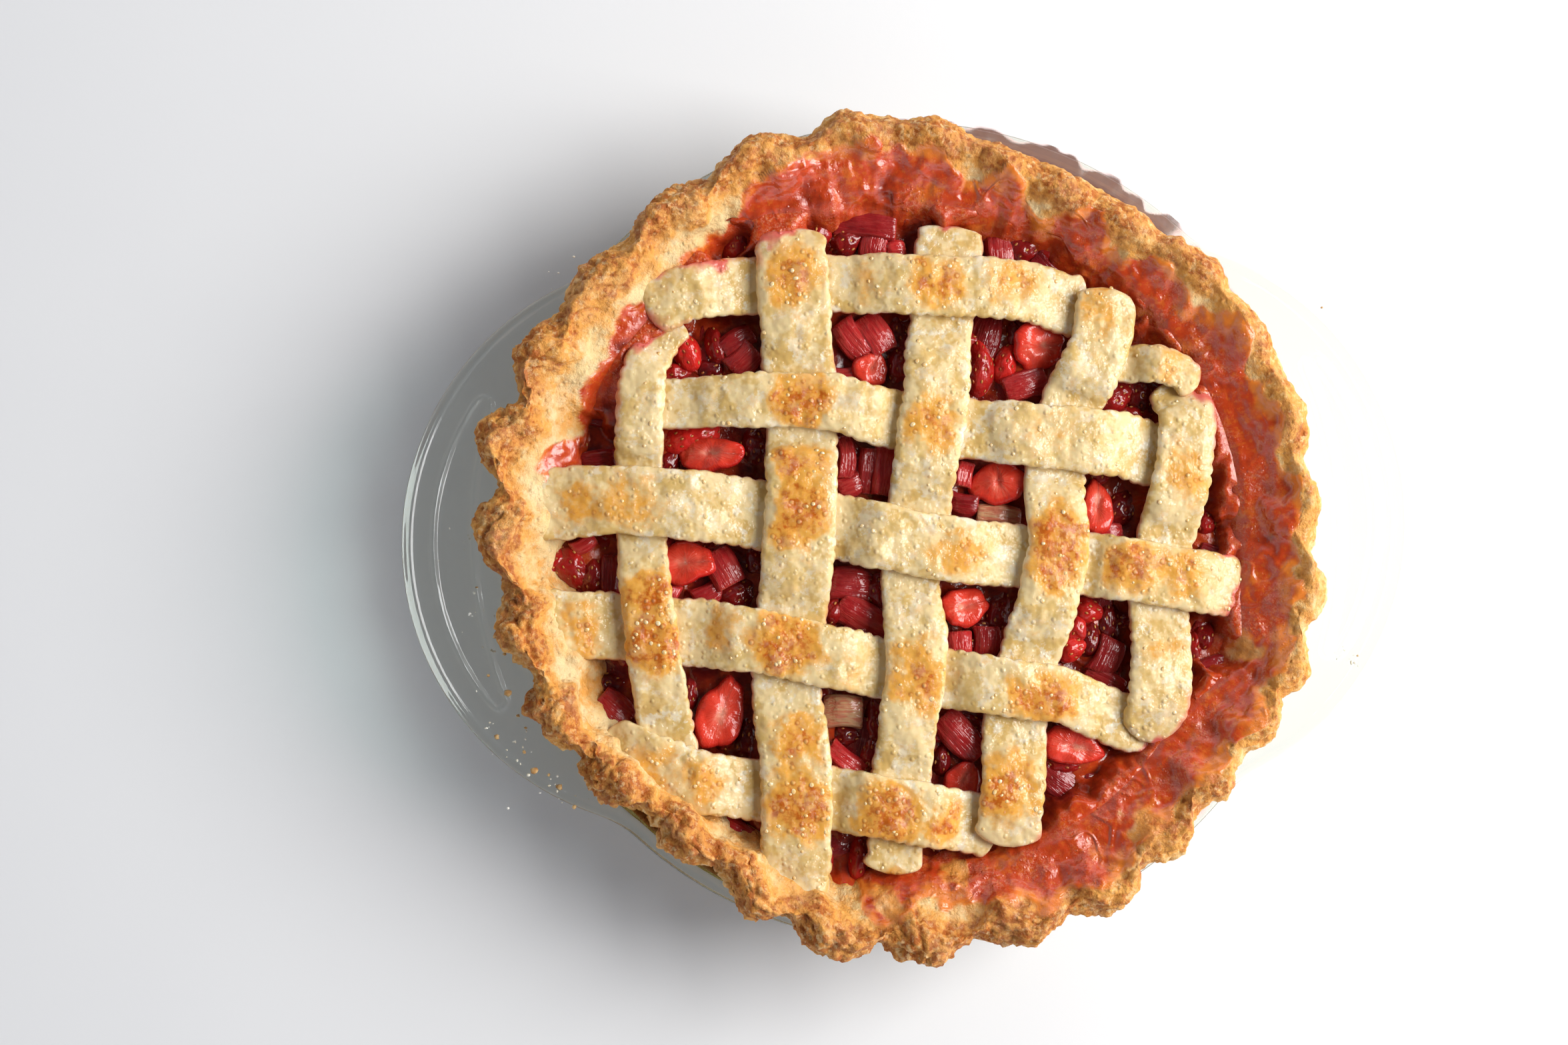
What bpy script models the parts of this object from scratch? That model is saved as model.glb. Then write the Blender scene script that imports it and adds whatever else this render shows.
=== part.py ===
"""A strawberry rhubarb pie in its clear glass pie dish.

The glass dish has two ears with a raised grip loop on each. In it lies the pastry
case, whose rim is crimped into flutes on the dish's flange. The case is full of
strawberry and rhubarb pieces in syrup, and eleven strips of dough are woven over them.

Metres, +Z up. The origin is the centre of the dish's foot, on the surface it stands on.
+X runs along the ears, and +Y is the far side.
"""

import math
import random

import bmesh
import bpy
from mathutils import Matrix, Vector, noise

# Driving dimensions.
DISH_HEIGHT = 0.044
DISH_RADIUS = 0.1236
EAR_CENTRE = 0.0672
EAR_RADIUS = 0.0853
EAR_BLEND = 0.004
GLASS = 0.0048
FOOT_RADIUS = 0.094
WELL_RADIUS = 0.1165

CASE_GAP = 0.0005
FILLING_GAP = 0.0007
CASE_THICKNESS = 0.0045
FLUTES = 29
FLUTE_SWING = 0.0024
RIM_HEIGHT = 0.0150
RIM_WIDTH = 0.0105

STRIP_THICKNESS = 0.0036
STRIP_GAP = 0.0004
SCALLOP_PITCH = 0.0056
SCALLOP_DEPTH = 0.0006
LATTICE_CENTRE_Z = 0.0492
LATTICE_FALL = 0.0042
LATTICE_RADIUS = 0.1105

SYRUP_DEPTH = 0.0085
FRUIT_DEPTH = 0.0048
FRUIT_UNEVEN = 0.0010

SEED = 28

# Colours, red, green and blue from 0 to 1.
GLASS_COLOUR = (0.86, 0.94, 0.93)
CRUST_COLOUR = (0.72, 0.47, 0.22)
DOUGH_COLOUR = (0.80, 0.64, 0.38)
FRUIT_COLOUR = (0.42, 0.03, 0.03)

# How unevenly the flutes follow each other: (waves round the rim, swing, start), in radians.
FLUTE_START = 3.84
FLUTE_DRIFT = ((1, 2.1, 0.25), (3, 0.87, 2.35), (4, 0.67, 2.0))

# How far the rim reaches from the pie's centre, by compass angle in degrees from +X.
RIM_REACH = (
    (0, 0.1225), (30, 0.1230), (58, 0.1185), (98, 0.1255), (140, 0.1275), (165, 0.1320),
    (200, 0.1265), (225, 0.1225), (260, 0.1285), (285, 0.1280), (319, 0.1220), (337, 0.1260),
)

# The strips that run up the picture, left to right: (width at the start, at the end), points.
UPRIGHTS = (
    ((0.0130, 0.0170), ((-0.0680, 0.0670), (-0.0745, 0.0590), (-0.0792, 0.0480), (-0.0812, 0.0300),
                        (-0.0820, 0.0000), (-0.0806, -0.0300), (-0.0762, -0.0700))),
    ((0.0215, 0.0210), ((-0.0320, 0.0920), (-0.0328, 0.0680), (-0.0322, 0.0400), (-0.0345, 0.0080),
                        (-0.0390, -0.0240), (-0.0416, -0.0480), (-0.0405, -0.0740), (-0.0425, -0.1010))),
    ((0.0205, 0.0170), ((0.0165, 0.0910), (0.0130, 0.0710), (0.0082, 0.0420), (0.0015, 0.0080),
                        (-0.0029, -0.0170), (-0.0030, -0.0360), (-0.0070, -0.0620), (-0.0134, -0.1020))),
    ((0.0185, 0.0190), ((0.0626, 0.0690), (0.0590, 0.0530), (0.0500, 0.0350), (0.0430, 0.0140),
                        (0.0412, -0.0100), (0.0350, -0.0310), (0.0270, -0.0540), (0.0246, -0.0720),
                        (0.0210, -0.0960))),
    ((0.0180, 0.0190), ((0.0818, 0.0405), (0.0840, 0.0260), (0.0786, 0.0020), (0.0722, -0.0200),
                        (0.0717, -0.0440), (0.0660, -0.0680))),
)
# The strips that run across, top to bottom, and last the short one by the far right edge.
CROSSERS = (
    ((0.0170, 0.0190), ((-0.0770, 0.0690), (-0.0620, 0.0742), (-0.0327, 0.0754), (0.0000, 0.0732),
                        (0.0353, 0.0697), (0.0560, 0.0640))),
    ((0.0150, 0.0205), ((-0.0830, 0.0416), (-0.0487, 0.0407), (-0.0260, 0.0390), (-0.0030, 0.0325),
                        (0.0225, 0.0281), (0.0545, 0.0231), (0.0800, 0.0175))),
    ((0.0215, 0.0180), ((-0.1095, 0.0134), (-0.0838, 0.0129), (-0.0545, 0.0084), (-0.0233, 0.0017),
                        (0.0082, -0.0066), (0.0401, -0.0117), (0.0721, -0.0180), (0.0985, -0.0236))),
    ((0.0205, 0.0165), ((-0.1085, -0.0220), (-0.0742, -0.0262), (-0.0431, -0.0322), (-0.0159, -0.0405),
                        (0.0116, -0.0466), (0.0374, -0.0517), (0.0520, -0.0580), (0.0700, -0.0660))),
    ((0.0185, 0.0185), ((-0.0930, -0.0600), (-0.0690, -0.0711), (-0.0418, -0.0758), (-0.0145, -0.0821),
                        (0.0195, -0.0905))),
    ((0.0115, 0.0110), ((0.0610, 0.0470), (0.0770, 0.0450), (0.0885, 0.0390))),
)
SHORT_STRIP = len(CROSSERS)

STATION = SCALLOP_PITCH / 2
STATION_REACH = STATION * 0.6
EDGE_CLEAR = 0.001
FREE_RAMP = 0.012
SHARP_EDGE = math.radians(35)
RHUBARB = "rhubarb"
BERRY = "berry"
RHUBARB_WIDTH = 0.0105
RHUBARB_DEPTH = 0.0060
RHUBARB_TILT = math.radians(2)
BERRY_WIDTH_SHARE = 0.72
BERRY_DEPTH_SHARE = 0.44
BERRY_TAPER = 0.30

# The fruit that shows in each gap, from the gap's centre: kind, east, north, turn in degrees, length.
# A gap is named by the strips to its left and above, 0 being the rim.
FRUIT = {
    (2, 0): ((RHUBARB, -0.004, 0.002, 8, 0.022), (RHUBARB, 0.004, -0.007, 80, 0.016)),
    (3, 0): ((BERRY, 0.006, -0.002, -30, 0.020), (RHUBARB, -0.008, -0.004, 75, 0.014)),
    (1, 1): ((BERRY, -0.006, 0.000, 75, 0.022), (RHUBARB, 0.006, 0.004, 35, 0.018),
             (RHUBARB, 0.009, -0.005, 40, 0.013)),
    (2, 1): ((RHUBARB, -0.006, 0.004, 60, 0.018), (RHUBARB, 0.004, 0.006, -75, 0.018),
             (BERRY, 0.000, -0.006, -10, 0.016)),
    (3, 1): ((BERRY, -0.010, -0.001, 85, 0.026), (BERRY, 0.008, 0.004, 10, 0.020),
             (RHUBARB, 0.001, -0.006, 20, 0.017)),
    (4, 1): ((BERRY, 0.000, 0.001, 15, 0.018),),
    (0, 2): ((RHUBARB, 0.003, -0.005, 10, 0.012), (BERRY, 0.004, 0.006, 70, 0.013)),
    (1, 2): ((BERRY, -0.003, 0.001, -8, 0.028), (RHUBARB, 0.011, 0.000, 80, 0.016)),
    (2, 2): ((RHUBARB, -0.004, 0.001, 85, 0.020), (RHUBARB, 0.005, -0.001, -82, 0.020)),
    (3, 2): ((BERRY, 0.002, 0.002, 0, 0.022), (RHUBARB, 0.004, -0.008, -8, 0.018)),
    (4, 2): ((RHUBARB, -0.004, 0.002, 70, 0.019), (BERRY, 0.006, -0.004, 50, 0.016)),
    (0, 3): ((BERRY, 0.004, 0.001, 15, 0.016),),
    (1, 3): ((BERRY, -0.008, 0.004, 20, 0.022), (RHUBARB, 0.005, 0.003, -62, 0.020),
             (RHUBARB, -0.002, -0.007, 10, 0.015)),
    (2, 3): ((RHUBARB, -0.001, 0.006, 0, 0.018), (RHUBARB, 0.002, -0.004, -38, 0.022)),
    (3, 3): ((BERRY, -0.005, 0.004, 10, 0.022), (RHUBARB, -0.006, -0.008, 85, 0.013),
             (RHUBARB, 0.005, -0.006, 88, 0.015)),
    (4, 3): ((BERRY, -0.004, 0.008, 60, 0.018), (RHUBARB, -0.005, -0.004, 70, 0.018),
             (RHUBARB, 0.005, -0.006, 60, 0.019)),
    (0, 4): ((RHUBARB, 0.009, 0.003, -65, 0.013),),
    (1, 4): ((BERRY, -0.001, 0.000, 72, 0.027), (RHUBARB, 0.009, -0.002, 80, 0.016)),
    (2, 4): ((RHUBARB, -0.002, 0.007, -3, 0.018), (RHUBARB, -0.002, -0.008, -38, 0.018)),
    (3, 4): ((RHUBARB, -0.001, 0.006, -40, 0.017), (BERRY, 0.000, -0.006, 60, 0.018)),
}


def smoothstep(low, high, value):
    """0 below low, 1 above high, and an even rise between."""
    share = min(1.0, max(0.0, (value - low) / (high - low)))
    return share * share * (3 - 2 * share)


def ripple(x, y, scale, layer=0.0):
    """Smooth noise from about -1 to 1 over the plan, with features scale across."""
    return noise.noise(Vector((x / scale, y / scale, layer)))


# ---- Shared shapes ----


def lattice_z(x, y):
    """Height of the middle of the woven sheet, a low dome."""
    return LATTICE_CENTRE_Z - LATTICE_FALL * (x * x + y * y) / LATTICE_RADIUS**2


def rim_reach(angle):
    """How far the rim reaches at this angle, through RIM_REACH in an even curve."""
    degrees = math.degrees(angle) % 360
    stops = [(a, r) for a, r in RIM_REACH] + [(RIM_REACH[0][0] + 360, RIM_REACH[0][1])]
    for (a0, r0), (a1, r1) in zip(stops, stops[1:]):
        if a0 <= degrees <= a1:
            return r0 + (r1 - r0) * smoothstep(a0, a1, degrees)
    return stops[0][1]


def flute_wave(angle):
    """1 where a flute is pushed out and -1 where it is pinched in, unevenly spaced."""
    drift = sum(swing * math.sin(times * angle + start) for times, swing, start in FLUTE_DRIFT)
    return math.cos(FLUTES * angle + FLUTE_START + drift)


def new_object(name, mesh, material):
    """Links one object with one material to the scene."""
    mesh.materials.append(material)
    mesh.shade_smooth()
    mesh.set_sharp_from_angle(angle=SHARP_EDGE)
    obj = bpy.data.objects.new(name, mesh)
    bpy.context.scene.collection.objects.link(obj)
    return obj


def new_material(name, colour, roughness, transmission=0.0):
    """A Principled material of one colour."""
    material = bpy.data.materials.new(name)
    material.use_nodes = True
    shader = material.node_tree.nodes["Principled BSDF"]
    shader.inputs["Base Color"].default_value = (*colour, 1.0)
    shader.inputs["Roughness"].default_value = roughness
    shader.inputs["Metallic"].default_value = 0.0
    shader.inputs["Transmission Weight"].default_value = transmission
    return material


def revolved(name, angles, section_at):
    """A closed body whose section changes round the axis.

    section_at(angle) lists (radius, z) from the middle of one face, out and round to the
    middle of the other. The first and last are joined across the axis.
    """
    bm = bmesh.new()
    columns = []
    for angle in angles:
        ring = [
            bm.verts.new((r * math.cos(angle), r * math.sin(angle), z))
            for r, z in section_at(angle)
        ]
        columns.append(ring)
    for left, right in zip(columns, columns[1:] + columns[:1]):
        for low in range(len(left) - 1):
            bm.faces.new((left[low], right[low], right[low + 1], left[low + 1]))
    bm.faces.new([column[-1] for column in columns])
    bm.faces.new([column[0] for column in reversed(columns)])
    bmesh.ops.recalc_face_normals(bm, faces=bm.faces)
    bmesh.ops.triangulate(bm, faces=bm.faces)
    mesh = bpy.data.meshes.new(name)
    bm.to_mesh(mesh)
    bm.free()
    return mesh


def union(target, pieces):
    """Fuses the pieces onto the target with one Boolean, and removes them."""
    gathered = bpy.data.collections.new("fused")
    bpy.context.scene.collection.children.link(gathered)
    for piece in pieces:
        bpy.context.scene.collection.objects.unlink(piece)
        gathered.objects.link(piece)
    fuse = target.modifiers.new("Fuse", "BOOLEAN")
    fuse.operation = "UNION"
    fuse.operand_type = "COLLECTION"
    fuse.collection = gathered
    fuse.solver = "MANIFOLD"
    bpy.context.view_layer.update()
    graph = bpy.context.evaluated_depsgraph_get()
    fused = bpy.data.meshes.new_from_object(target.evaluated_get(graph))
    target.modifiers.clear()
    target.data = fused
    for piece in list(gathered.objects):
        bpy.data.objects.remove(piece)
    bpy.data.collections.remove(gathered)


# ---- Glass dish ----

DISH_SIDES = 72
EDGE_ROUND = 0.0016
LIP_WIDTH = 0.0015
LIP_DROP = 0.0025
FOOT_ROUND = 0.0022
ARC_STEPS = 8
LOOP_HEIGHT = 0.0010
LOOP_WIDTH = 0.0024
# The loop's cross-section: (share of its width, share of its height).
LOOP_SECTION = ((-0.5, -0.3), (-0.3, 1.0), (0.3, 1.0), (0.5, -0.3))
LOOP_OUTER_RADIUS = EAR_RADIUS - 0.0093
LOOP_INNER_RADIUS = 0.1315
LOOP_HALF_LENGTH = 0.0440


def dish_edge(angle):
    """Radius of the flange's edge: a circle with a rounder ear at each side, faired together."""
    along, across = abs(math.cos(angle)), math.sin(angle)
    inside = EAR_RADIUS**2 - (EAR_CENTRE * across) ** 2
    ear = EAR_CENTRE * along + math.sqrt(inside) if inside > 0 else 0.0
    high, low = max(ear, DISH_RADIUS), min(ear, DISH_RADIUS)
    near = max(0.0, EAR_BLEND - (high - low)) / EAR_BLEND
    return high + near * near * EAR_BLEND / 4


def dish_section(angle):
    """The dish's wall from the middle of its floor, over the flange, to the middle of its foot."""
    edge = dish_edge(angle)
    top = DISH_HEIGHT
    under = DISH_HEIGHT - GLASS
    return (
        (FOOT_RADIUS - 0.0080, GLASS),
        (FOOT_RADIUS - 0.0010, GLASS + FOOT_ROUND),
        (WELL_RADIUS - LIP_WIDTH, top - LIP_DROP),
        (WELL_RADIUS + LIP_WIDTH, top),
        (edge - EDGE_ROUND, top),
        (edge, top - EDGE_ROUND),
        (edge, under + EDGE_ROUND),
        (edge - EDGE_ROUND, under),
        (WELL_RADIUS + GLASS, under),
        (WELL_RADIUS + GLASS - LIP_DROP, under - LIP_DROP),
        (FOOT_RADIUS + GLASS, FOOT_ROUND),
        (FOOT_RADIUS, 0.0),
    )


def loop_path():
    """Plan points of a grip loop: an arc along the ear's edge, and one round the dish's centre."""
    outer_turn = math.asin(LOOP_HALF_LENGTH / LOOP_OUTER_RADIUS)
    inner_turn = math.asin(LOOP_HALF_LENGTH / LOOP_INNER_RADIUS)
    outer, inner = [], []
    for step in range(ARC_STEPS + 1):
        swing = 1 - 2 * step / ARC_STEPS
        along = LOOP_OUTER_RADIUS * math.cos(outer_turn * swing)
        across = LOOP_OUTER_RADIUS * math.sin(outer_turn * swing)
        outer.append(Vector((EAR_CENTRE + along, across)))
        across = -LOOP_INNER_RADIUS * math.sin(inner_turn * swing)
        inner.append(Vector((LOOP_INNER_RADIUS * math.cos(inner_turn * swing), across)))
    tip = Vector((0.0, (outer[0] - inner[-1]).length / 2))
    near_end = (outer[-1] + inner[0]) / 2 - tip
    far_end = (outer[0] + inner[-1]) / 2 + tip
    return [*outer, near_end, *inner, far_end]


def grip_loop(side):
    """The raised line on one ear: a closed crescent, sunk a little into the flange."""
    path = loop_path()
    bm = bmesh.new()
    rings = []
    for index, spot in enumerate(path):
        run = path[(index + 1) % len(path)] - path[index - 1]
        outward = Vector((run.y, -run.x)).normalized()
        ring = []
        for offset, height in LOOP_SECTION:
            place = spot + outward * offset * LOOP_WIDTH
            ring.append(bm.verts.new((side * place.x, place.y, DISH_HEIGHT + height * LOOP_HEIGHT)))
        rings.append(ring)
    for ring, after in zip(rings, rings[1:] + rings[:1]):
        for corner in range(4):
            follow = (corner + 1) % 4
            bm.faces.new((ring[corner], ring[follow], after[follow], after[corner]))
    bmesh.ops.recalc_face_normals(bm, faces=bm.faces)
    mesh = bpy.data.meshes.new("grip_loop")
    bm.to_mesh(mesh)
    bm.free()
    return mesh


def make_dish(material):
    """The glass dish with its two ears and their grip loops."""
    angles = [2 * math.pi * (step + 0.5) / DISH_SIDES for step in range(DISH_SIDES)]
    dish = new_object("dish", revolved("dish", angles, dish_section), material)
    loops = [new_object("loop", grip_loop(side), material) for side in (1, -1)]
    union(dish, loops)


# ---- Pastry case ----

CASE_SIDES = FLUTES * 5
CASE_FLOOR_Z = GLASS + CASE_GAP
CASE_RIM_Z = DISH_HEIGHT + CASE_GAP
CASE_INNER = WELL_RADIUS - CASE_GAP - CASE_THICKNESS
CASE_FLOOR_RADIUS = FOOT_RADIUS - 0.0085
CASE_WALL_TOP = 0.0405
CASE_SEAT = WELL_RADIUS + LIP_WIDTH
RIM_UNEVEN = 0.0012
CREST_ROUND = 0.0012


def case_section(angle):
    """The case's wall from the middle of its floor, up over the fluted rim and down outside."""
    x, y = math.cos(angle), math.sin(angle)
    wave = flute_wave(angle)
    half = RIM_WIDTH / 2
    pinch = FLUTE_SWING * (1.0 + 0.5 * ripple(x, y, 0.5, 7.0)) * (1 - wave)
    ridge = rim_reach(angle) - half - pinch + RIM_UNEVEN * ripple(x, y, 0.09, 4.0)
    crest = CASE_RIM_Z + RIM_HEIGHT + RIM_UNEVEN * (0.8 * wave + ripple(x, y, 0.13, 9.0) - 1.3)
    outside = max(ridge + half, CASE_SEAT + 2 * CASE_GAP)
    return (
        (CASE_FLOOR_RADIUS, CASE_FLOOR_Z + CASE_THICKNESS),
        (CASE_INNER, CASE_WALL_TOP),
        (CASE_INNER + CASE_GAP, CASE_RIM_Z + RIM_HEIGHT * 0.30),
        (max(ridge - half * 0.90, CASE_INNER - CASE_GAP), CASE_RIM_Z + RIM_HEIGHT * 0.57),
        (ridge - half * 0.35, crest - CREST_ROUND),
        (ridge + half * 0.30, crest),
        (outside - half * 0.15, crest - RIM_HEIGHT * 0.30),
        (outside, CASE_RIM_Z + RIM_HEIGHT * 0.28),
        (max(outside - half * 0.25, CASE_SEAT + CASE_GAP), CASE_RIM_Z),
        (CASE_SEAT - LIP_WIDTH * 0.5, CASE_RIM_Z - LIP_DROP * 0.08),
        (CASE_INNER + CASE_THICKNESS * 0.67, DISH_HEIGHT - LIP_DROP * 1.1),
        (FOOT_RADIUS - LIP_WIDTH, CASE_FLOOR_Z + FOOT_ROUND + CASE_GAP),
        (CASE_FLOOR_RADIUS, CASE_FLOOR_Z),
    )


def make_case(material):
    """The pastry case with its crimped rim."""
    angles = [2 * math.pi * step / CASE_SIDES for step in range(CASE_SIDES)]
    new_object("pastry_case", revolved("pastry_case", angles, case_section), material)


# ---- Woven strips ----

CURVE_STEPS = 24


def smooth_line(points):
    """The points joined by an even curve and read again every STATION, as (point, tangent)."""
    knots = [Vector(p) for p in points]
    knots = [2 * knots[0] - knots[1], *knots, 2 * knots[-1] - knots[-2]]
    dense = []
    for a, b, c, d in zip(knots, knots[1:], knots[2:], knots[3:]):
        for step in range(CURVE_STEPS):
            t = step / CURVE_STEPS
            dense.append(
                0.5 * (2 * b + (c - a) * t + (2 * a - 5 * b + 4 * c - d) * t**2
                       + (3 * b - a - 3 * c + d) * t**3)
            )
    dense.append(knots[-2])
    run = [0.0]
    for a, b in zip(dense, dense[1:]):
        run.append(run[-1] + (b - a).length)
    count = max(2, round(run[-1] / STATION))
    line, index = [], 0
    for step in range(count + 1):
        wanted = run[-1] * step / count
        while index < len(run) - 2 and run[index + 1] < wanted:
            index += 1
        share = (wanted - run[index]) / (run[index + 1] - run[index])
        spot = dense[index].lerp(dense[index + 1], share)
        line.append((spot, (dense[index + 1] - dense[index]).normalized()))
    return line


def nearest(line_a, line_b):
    """Stations of two lines that lie nearest each other, and how far apart they are."""
    return min(
        ((a[0] - b[0]).length, i, j)
        for i, a in enumerate(line_a)
        for j, b in enumerate(line_b)
    )


class Strip:
    """One strip of dough: its line in plan, its width and where it passes over and under."""

    def __init__(self, name, widths, points):
        self.name = name
        self.widths = widths
        self.line = smooth_line(points)
        self.crossings = []

    def half_width(self, index):
        """Half the strip's width at a station, without its scallops."""
        share = index / (len(self.line) - 1)
        return (self.widths[0] + (self.widths[1] - self.widths[0]) * share) / 2

    def covers(self, point):
        """Whether a plan point lies on the strip."""
        for index, (spot, ahead) in enumerate(self.line):
            away = point - spot
            along = abs(away.dot(ahead))
            across = abs(away.x * ahead.y - away.y * ahead.x)
            if along <= STATION_REACH and across <= self.half_width(index) + EDGE_CLEAR:
                return True
        return False

    def cross(self, other, level):
        """Notes that the strip is held at a level wherever it and the other one share a place."""
        shared = [
            index
            for index in range(len(self.line))
            if any(other.covers(self.edge(index, side)) for side in (-1, 0, 1))
        ]
        if shared:
            self.crossings.append((shared[0] - 1, shared[-1] + 1, level))
            self.crossings.sort()

    def lift(self, index):
        """How far the strip's middle is above the woven sheet's middle at a station."""
        before = after = None
        for start, stop, level in self.crossings:
            if start <= index <= stop:
                return level
            if stop < index:
                before = (stop, level)
            elif after is None:
                after = (start, level)
        if before and after:
            return before[1] + (after[1] - before[1]) * smoothstep(before[0], after[0], index)
        at, level = before or after
        return level * (1 - smoothstep(0.0, FREE_RAMP, abs(index - at) * STATION))

    def middle_z(self, index):
        """Height of the strip's middle at a station."""
        spot = self.line[index][0]
        return lattice_z(spot.x, spot.y) + self.lift(index)

    def edge(self, index, side):
        """Plan point of a scalloped edge at a station, trimmed where it meets the case."""
        spot, ahead = self.line[index]
        scallop = SCALLOP_DEPTH * (1 if index % 2 else -1)
        point = spot + Vector((-ahead.y, ahead.x)) * side * (self.half_width(index) + scallop)
        if point.length > LATTICE_RADIUS:
            point = point.normalized() * LATTICE_RADIUS
        return point

    def mesh(self):
        """The strip as a closed ribbon."""
        bm = bmesh.new()
        half = STRIP_THICKNESS / 2
        rings = []
        for index in range(len(self.line)):
            ring = []
            lift = self.lift(index)
            for side, up in ((1, half), (-1, half), (-1, -half), (1, -half)):
                spot = self.edge(index, side)
                ring.append(bm.verts.new((spot.x, spot.y, lattice_z(spot.x, spot.y) + lift + up)))
            rings.append(ring)
        for ring, after in zip(rings, rings[1:]):
            for corner in range(4):
                follow = (corner + 1) % 4
                bm.faces.new((ring[corner], ring[follow], after[follow], after[corner]))
        bm.faces.new(rings[0])
        bm.faces.new(rings[-1])
        bmesh.ops.recalc_face_normals(bm, faces=bm.faces)
        mesh = bpy.data.meshes.new(self.name)
        bm.to_mesh(mesh)
        bm.free()
        return mesh


def goes_over(upright, crosser):
    """Whether the upright strip passes over the crossing one: they take turns."""
    if crosser == SHORT_STRIP:
        return upright < len(UPRIGHTS)
    return (upright + crosser) % 2 == 1


def weave():
    """All strips, with their crossings worked out from where their lines meet."""
    uprights = [Strip(f"upright_strip_{n}", *row) for n, row in enumerate(UPRIGHTS, 1)]
    crossers = [Strip(f"cross_strip_{n}", *row) for n, row in enumerate(CROSSERS, 1)]
    high = (STRIP_THICKNESS + STRIP_GAP) / 2
    for number, upright in enumerate(uprights, 1):
        for rank, crosser in enumerate(crossers, 1):
            level = high if goes_over(number, rank) else -high
            upright.cross(crosser, level)
            crosser.cross(upright, -level)
    return uprights, crossers


# ---- Filling ----

CORE_SIDES = 52
STRIP_MARGIN = 0.0080
STRIP_CLEAR = 0.0010
SAUCE_RISE = 0.0014
SAUCE_UNEVEN = 0.0006
CORE_RINGS = (0.030, 0.060, 0.080, 0.091, 0.098, 0.104, 0.1108)
CORE_SHOULDER_Z = 0.0340
BAND_START = 0.090
BAND_END = 0.100
SAUCE_SIDE = math.radians(40)
SAUCE_FULL = math.radians(105)
SAUCE_NONE = math.radians(130)
GAP_LEFT = 0.0175
GAP_ABOVE = 0.0160


def strip_floor(strips, x, y):
    """Lowest underside of any strip near a plan point, less a gap, or None clear of them."""
    spot = Vector((x, y))
    lowest = None
    for strip in strips:
        for index, (middle, _) in enumerate(strip.line):
            if (middle - spot).length < strip.half_width(index) + STRIP_MARGIN:
                under = strip.middle_z(index) - STRIP_THICKNESS / 2 - STRIP_CLEAR
                lowest = under if lowest is None else min(lowest, under)
    return lowest


def sauce_share(x, y):
    """1 along the case on the side where syrup has boiled up to it, and 0 in the gaps."""
    lean = math.cos(math.atan2(y, x) - SAUCE_SIDE)
    lapped = smoothstep(math.cos(SAUCE_NONE), math.cos(SAUCE_FULL), lean)
    return lapped * smoothstep(BAND_START, BAND_END, math.hypot(x, y))


def core_top(strips, x, y):
    """Height of the syrup: low in the gaps, and rising into the band along the case."""
    pool = lattice_z(x, y) - SYRUP_DEPTH
    sauce = lattice_z(x, y) + SAUCE_RISE + SAUCE_UNEVEN * ripple(x, y, 0.011, 2.0)
    height = pool + (sauce - pool) * sauce_share(x, y)
    floor = strip_floor(strips, x, y)
    return height if floor is None else min(height, floor)


def case_wall(z):
    """Radius of the case's inner face at a height."""
    low = CASE_FLOOR_Z + CASE_THICKNESS
    share = min(1.0, (z - low) / (CASE_WALL_TOP - low))
    return CASE_FLOOR_RADIUS + (CASE_INNER - CASE_FLOOR_RADIUS) * share


def core_section(strips, angle):
    """The filling's core from the middle of its top, out to the case and under."""
    along, across = math.cos(angle), math.sin(angle)
    section = []
    for radius in CORE_RINGS:
        z = core_top(strips, radius * along, radius * across)
        section.append((min(radius, case_wall(z) - FILLING_GAP), z))
    floor = CASE_FLOOR_Z + CASE_THICKNESS + CASE_GAP
    return section + [
        (case_wall(CORE_SHOULDER_Z) - FILLING_GAP, CORE_SHOULDER_Z),
        (CASE_FLOOR_RADIUS - FILLING_GAP, floor),
    ]


def rhubarb_mesh(length):
    """A slice of rhubarb stalk: a short slab with an arched back."""
    outline = ((-0.5, -1.0), (0.5, -1.0), (0.5, -0.30), (0.28, 0.0), (-0.28, 0.0), (-0.5, -0.30))
    bm = bmesh.new()
    ends = [
        [bm.verts.new((end * length / 2, y * RHUBARB_WIDTH, z * RHUBARB_DEPTH)) for y, z in outline]
        for end in (-1, 1)
    ]
    for corner in range(len(outline)):
        follow = (corner + 1) % len(outline)
        bm.faces.new((ends[0][corner], ends[0][follow], ends[1][follow], ends[1][corner]))
    bm.faces.new(ends[0])
    bm.faces.new(ends[1])
    bmesh.ops.recalc_face_normals(bm, faces=bm.faces)
    mesh = bpy.data.meshes.new("rhubarb_piece")
    bm.to_mesh(mesh)
    bm.free()
    return mesh


def berry_mesh(length):
    """Half a strawberry, round side up: wide at the shoulder and drawn in to its tip."""
    bm = bmesh.new()
    bmesh.ops.create_uvsphere(bm, u_segments=7, v_segments=4, radius=1.0)
    bmesh.ops.rotate(bm, verts=bm.verts, matrix=Matrix.Rotation(math.pi / 2, 3, "Y"))
    for vert in bm.verts:
        taper = 1.0 - BERRY_TAPER * vert.co.x
        shape = Vector((1.0, BERRY_WIDTH_SHARE * taper, BERRY_DEPTH_SHARE * taper))
        vert.co = vert.co * shape * length / 2
    drop = max(vert.co.z for vert in bm.verts)
    bmesh.ops.translate(bm, verts=bm.verts, vec=(0, 0, -drop))
    mesh = bpy.data.meshes.new("berry_piece")
    bm.to_mesh(mesh)
    bm.free()
    return mesh


def meeting(strip_a, strip_b):
    """Plan point where two strips' lines come nearest."""
    _, i, j = nearest(strip_a.line, strip_b.line)
    return (strip_a.line[i][0] + strip_b.line[j][0]) / 2


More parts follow.
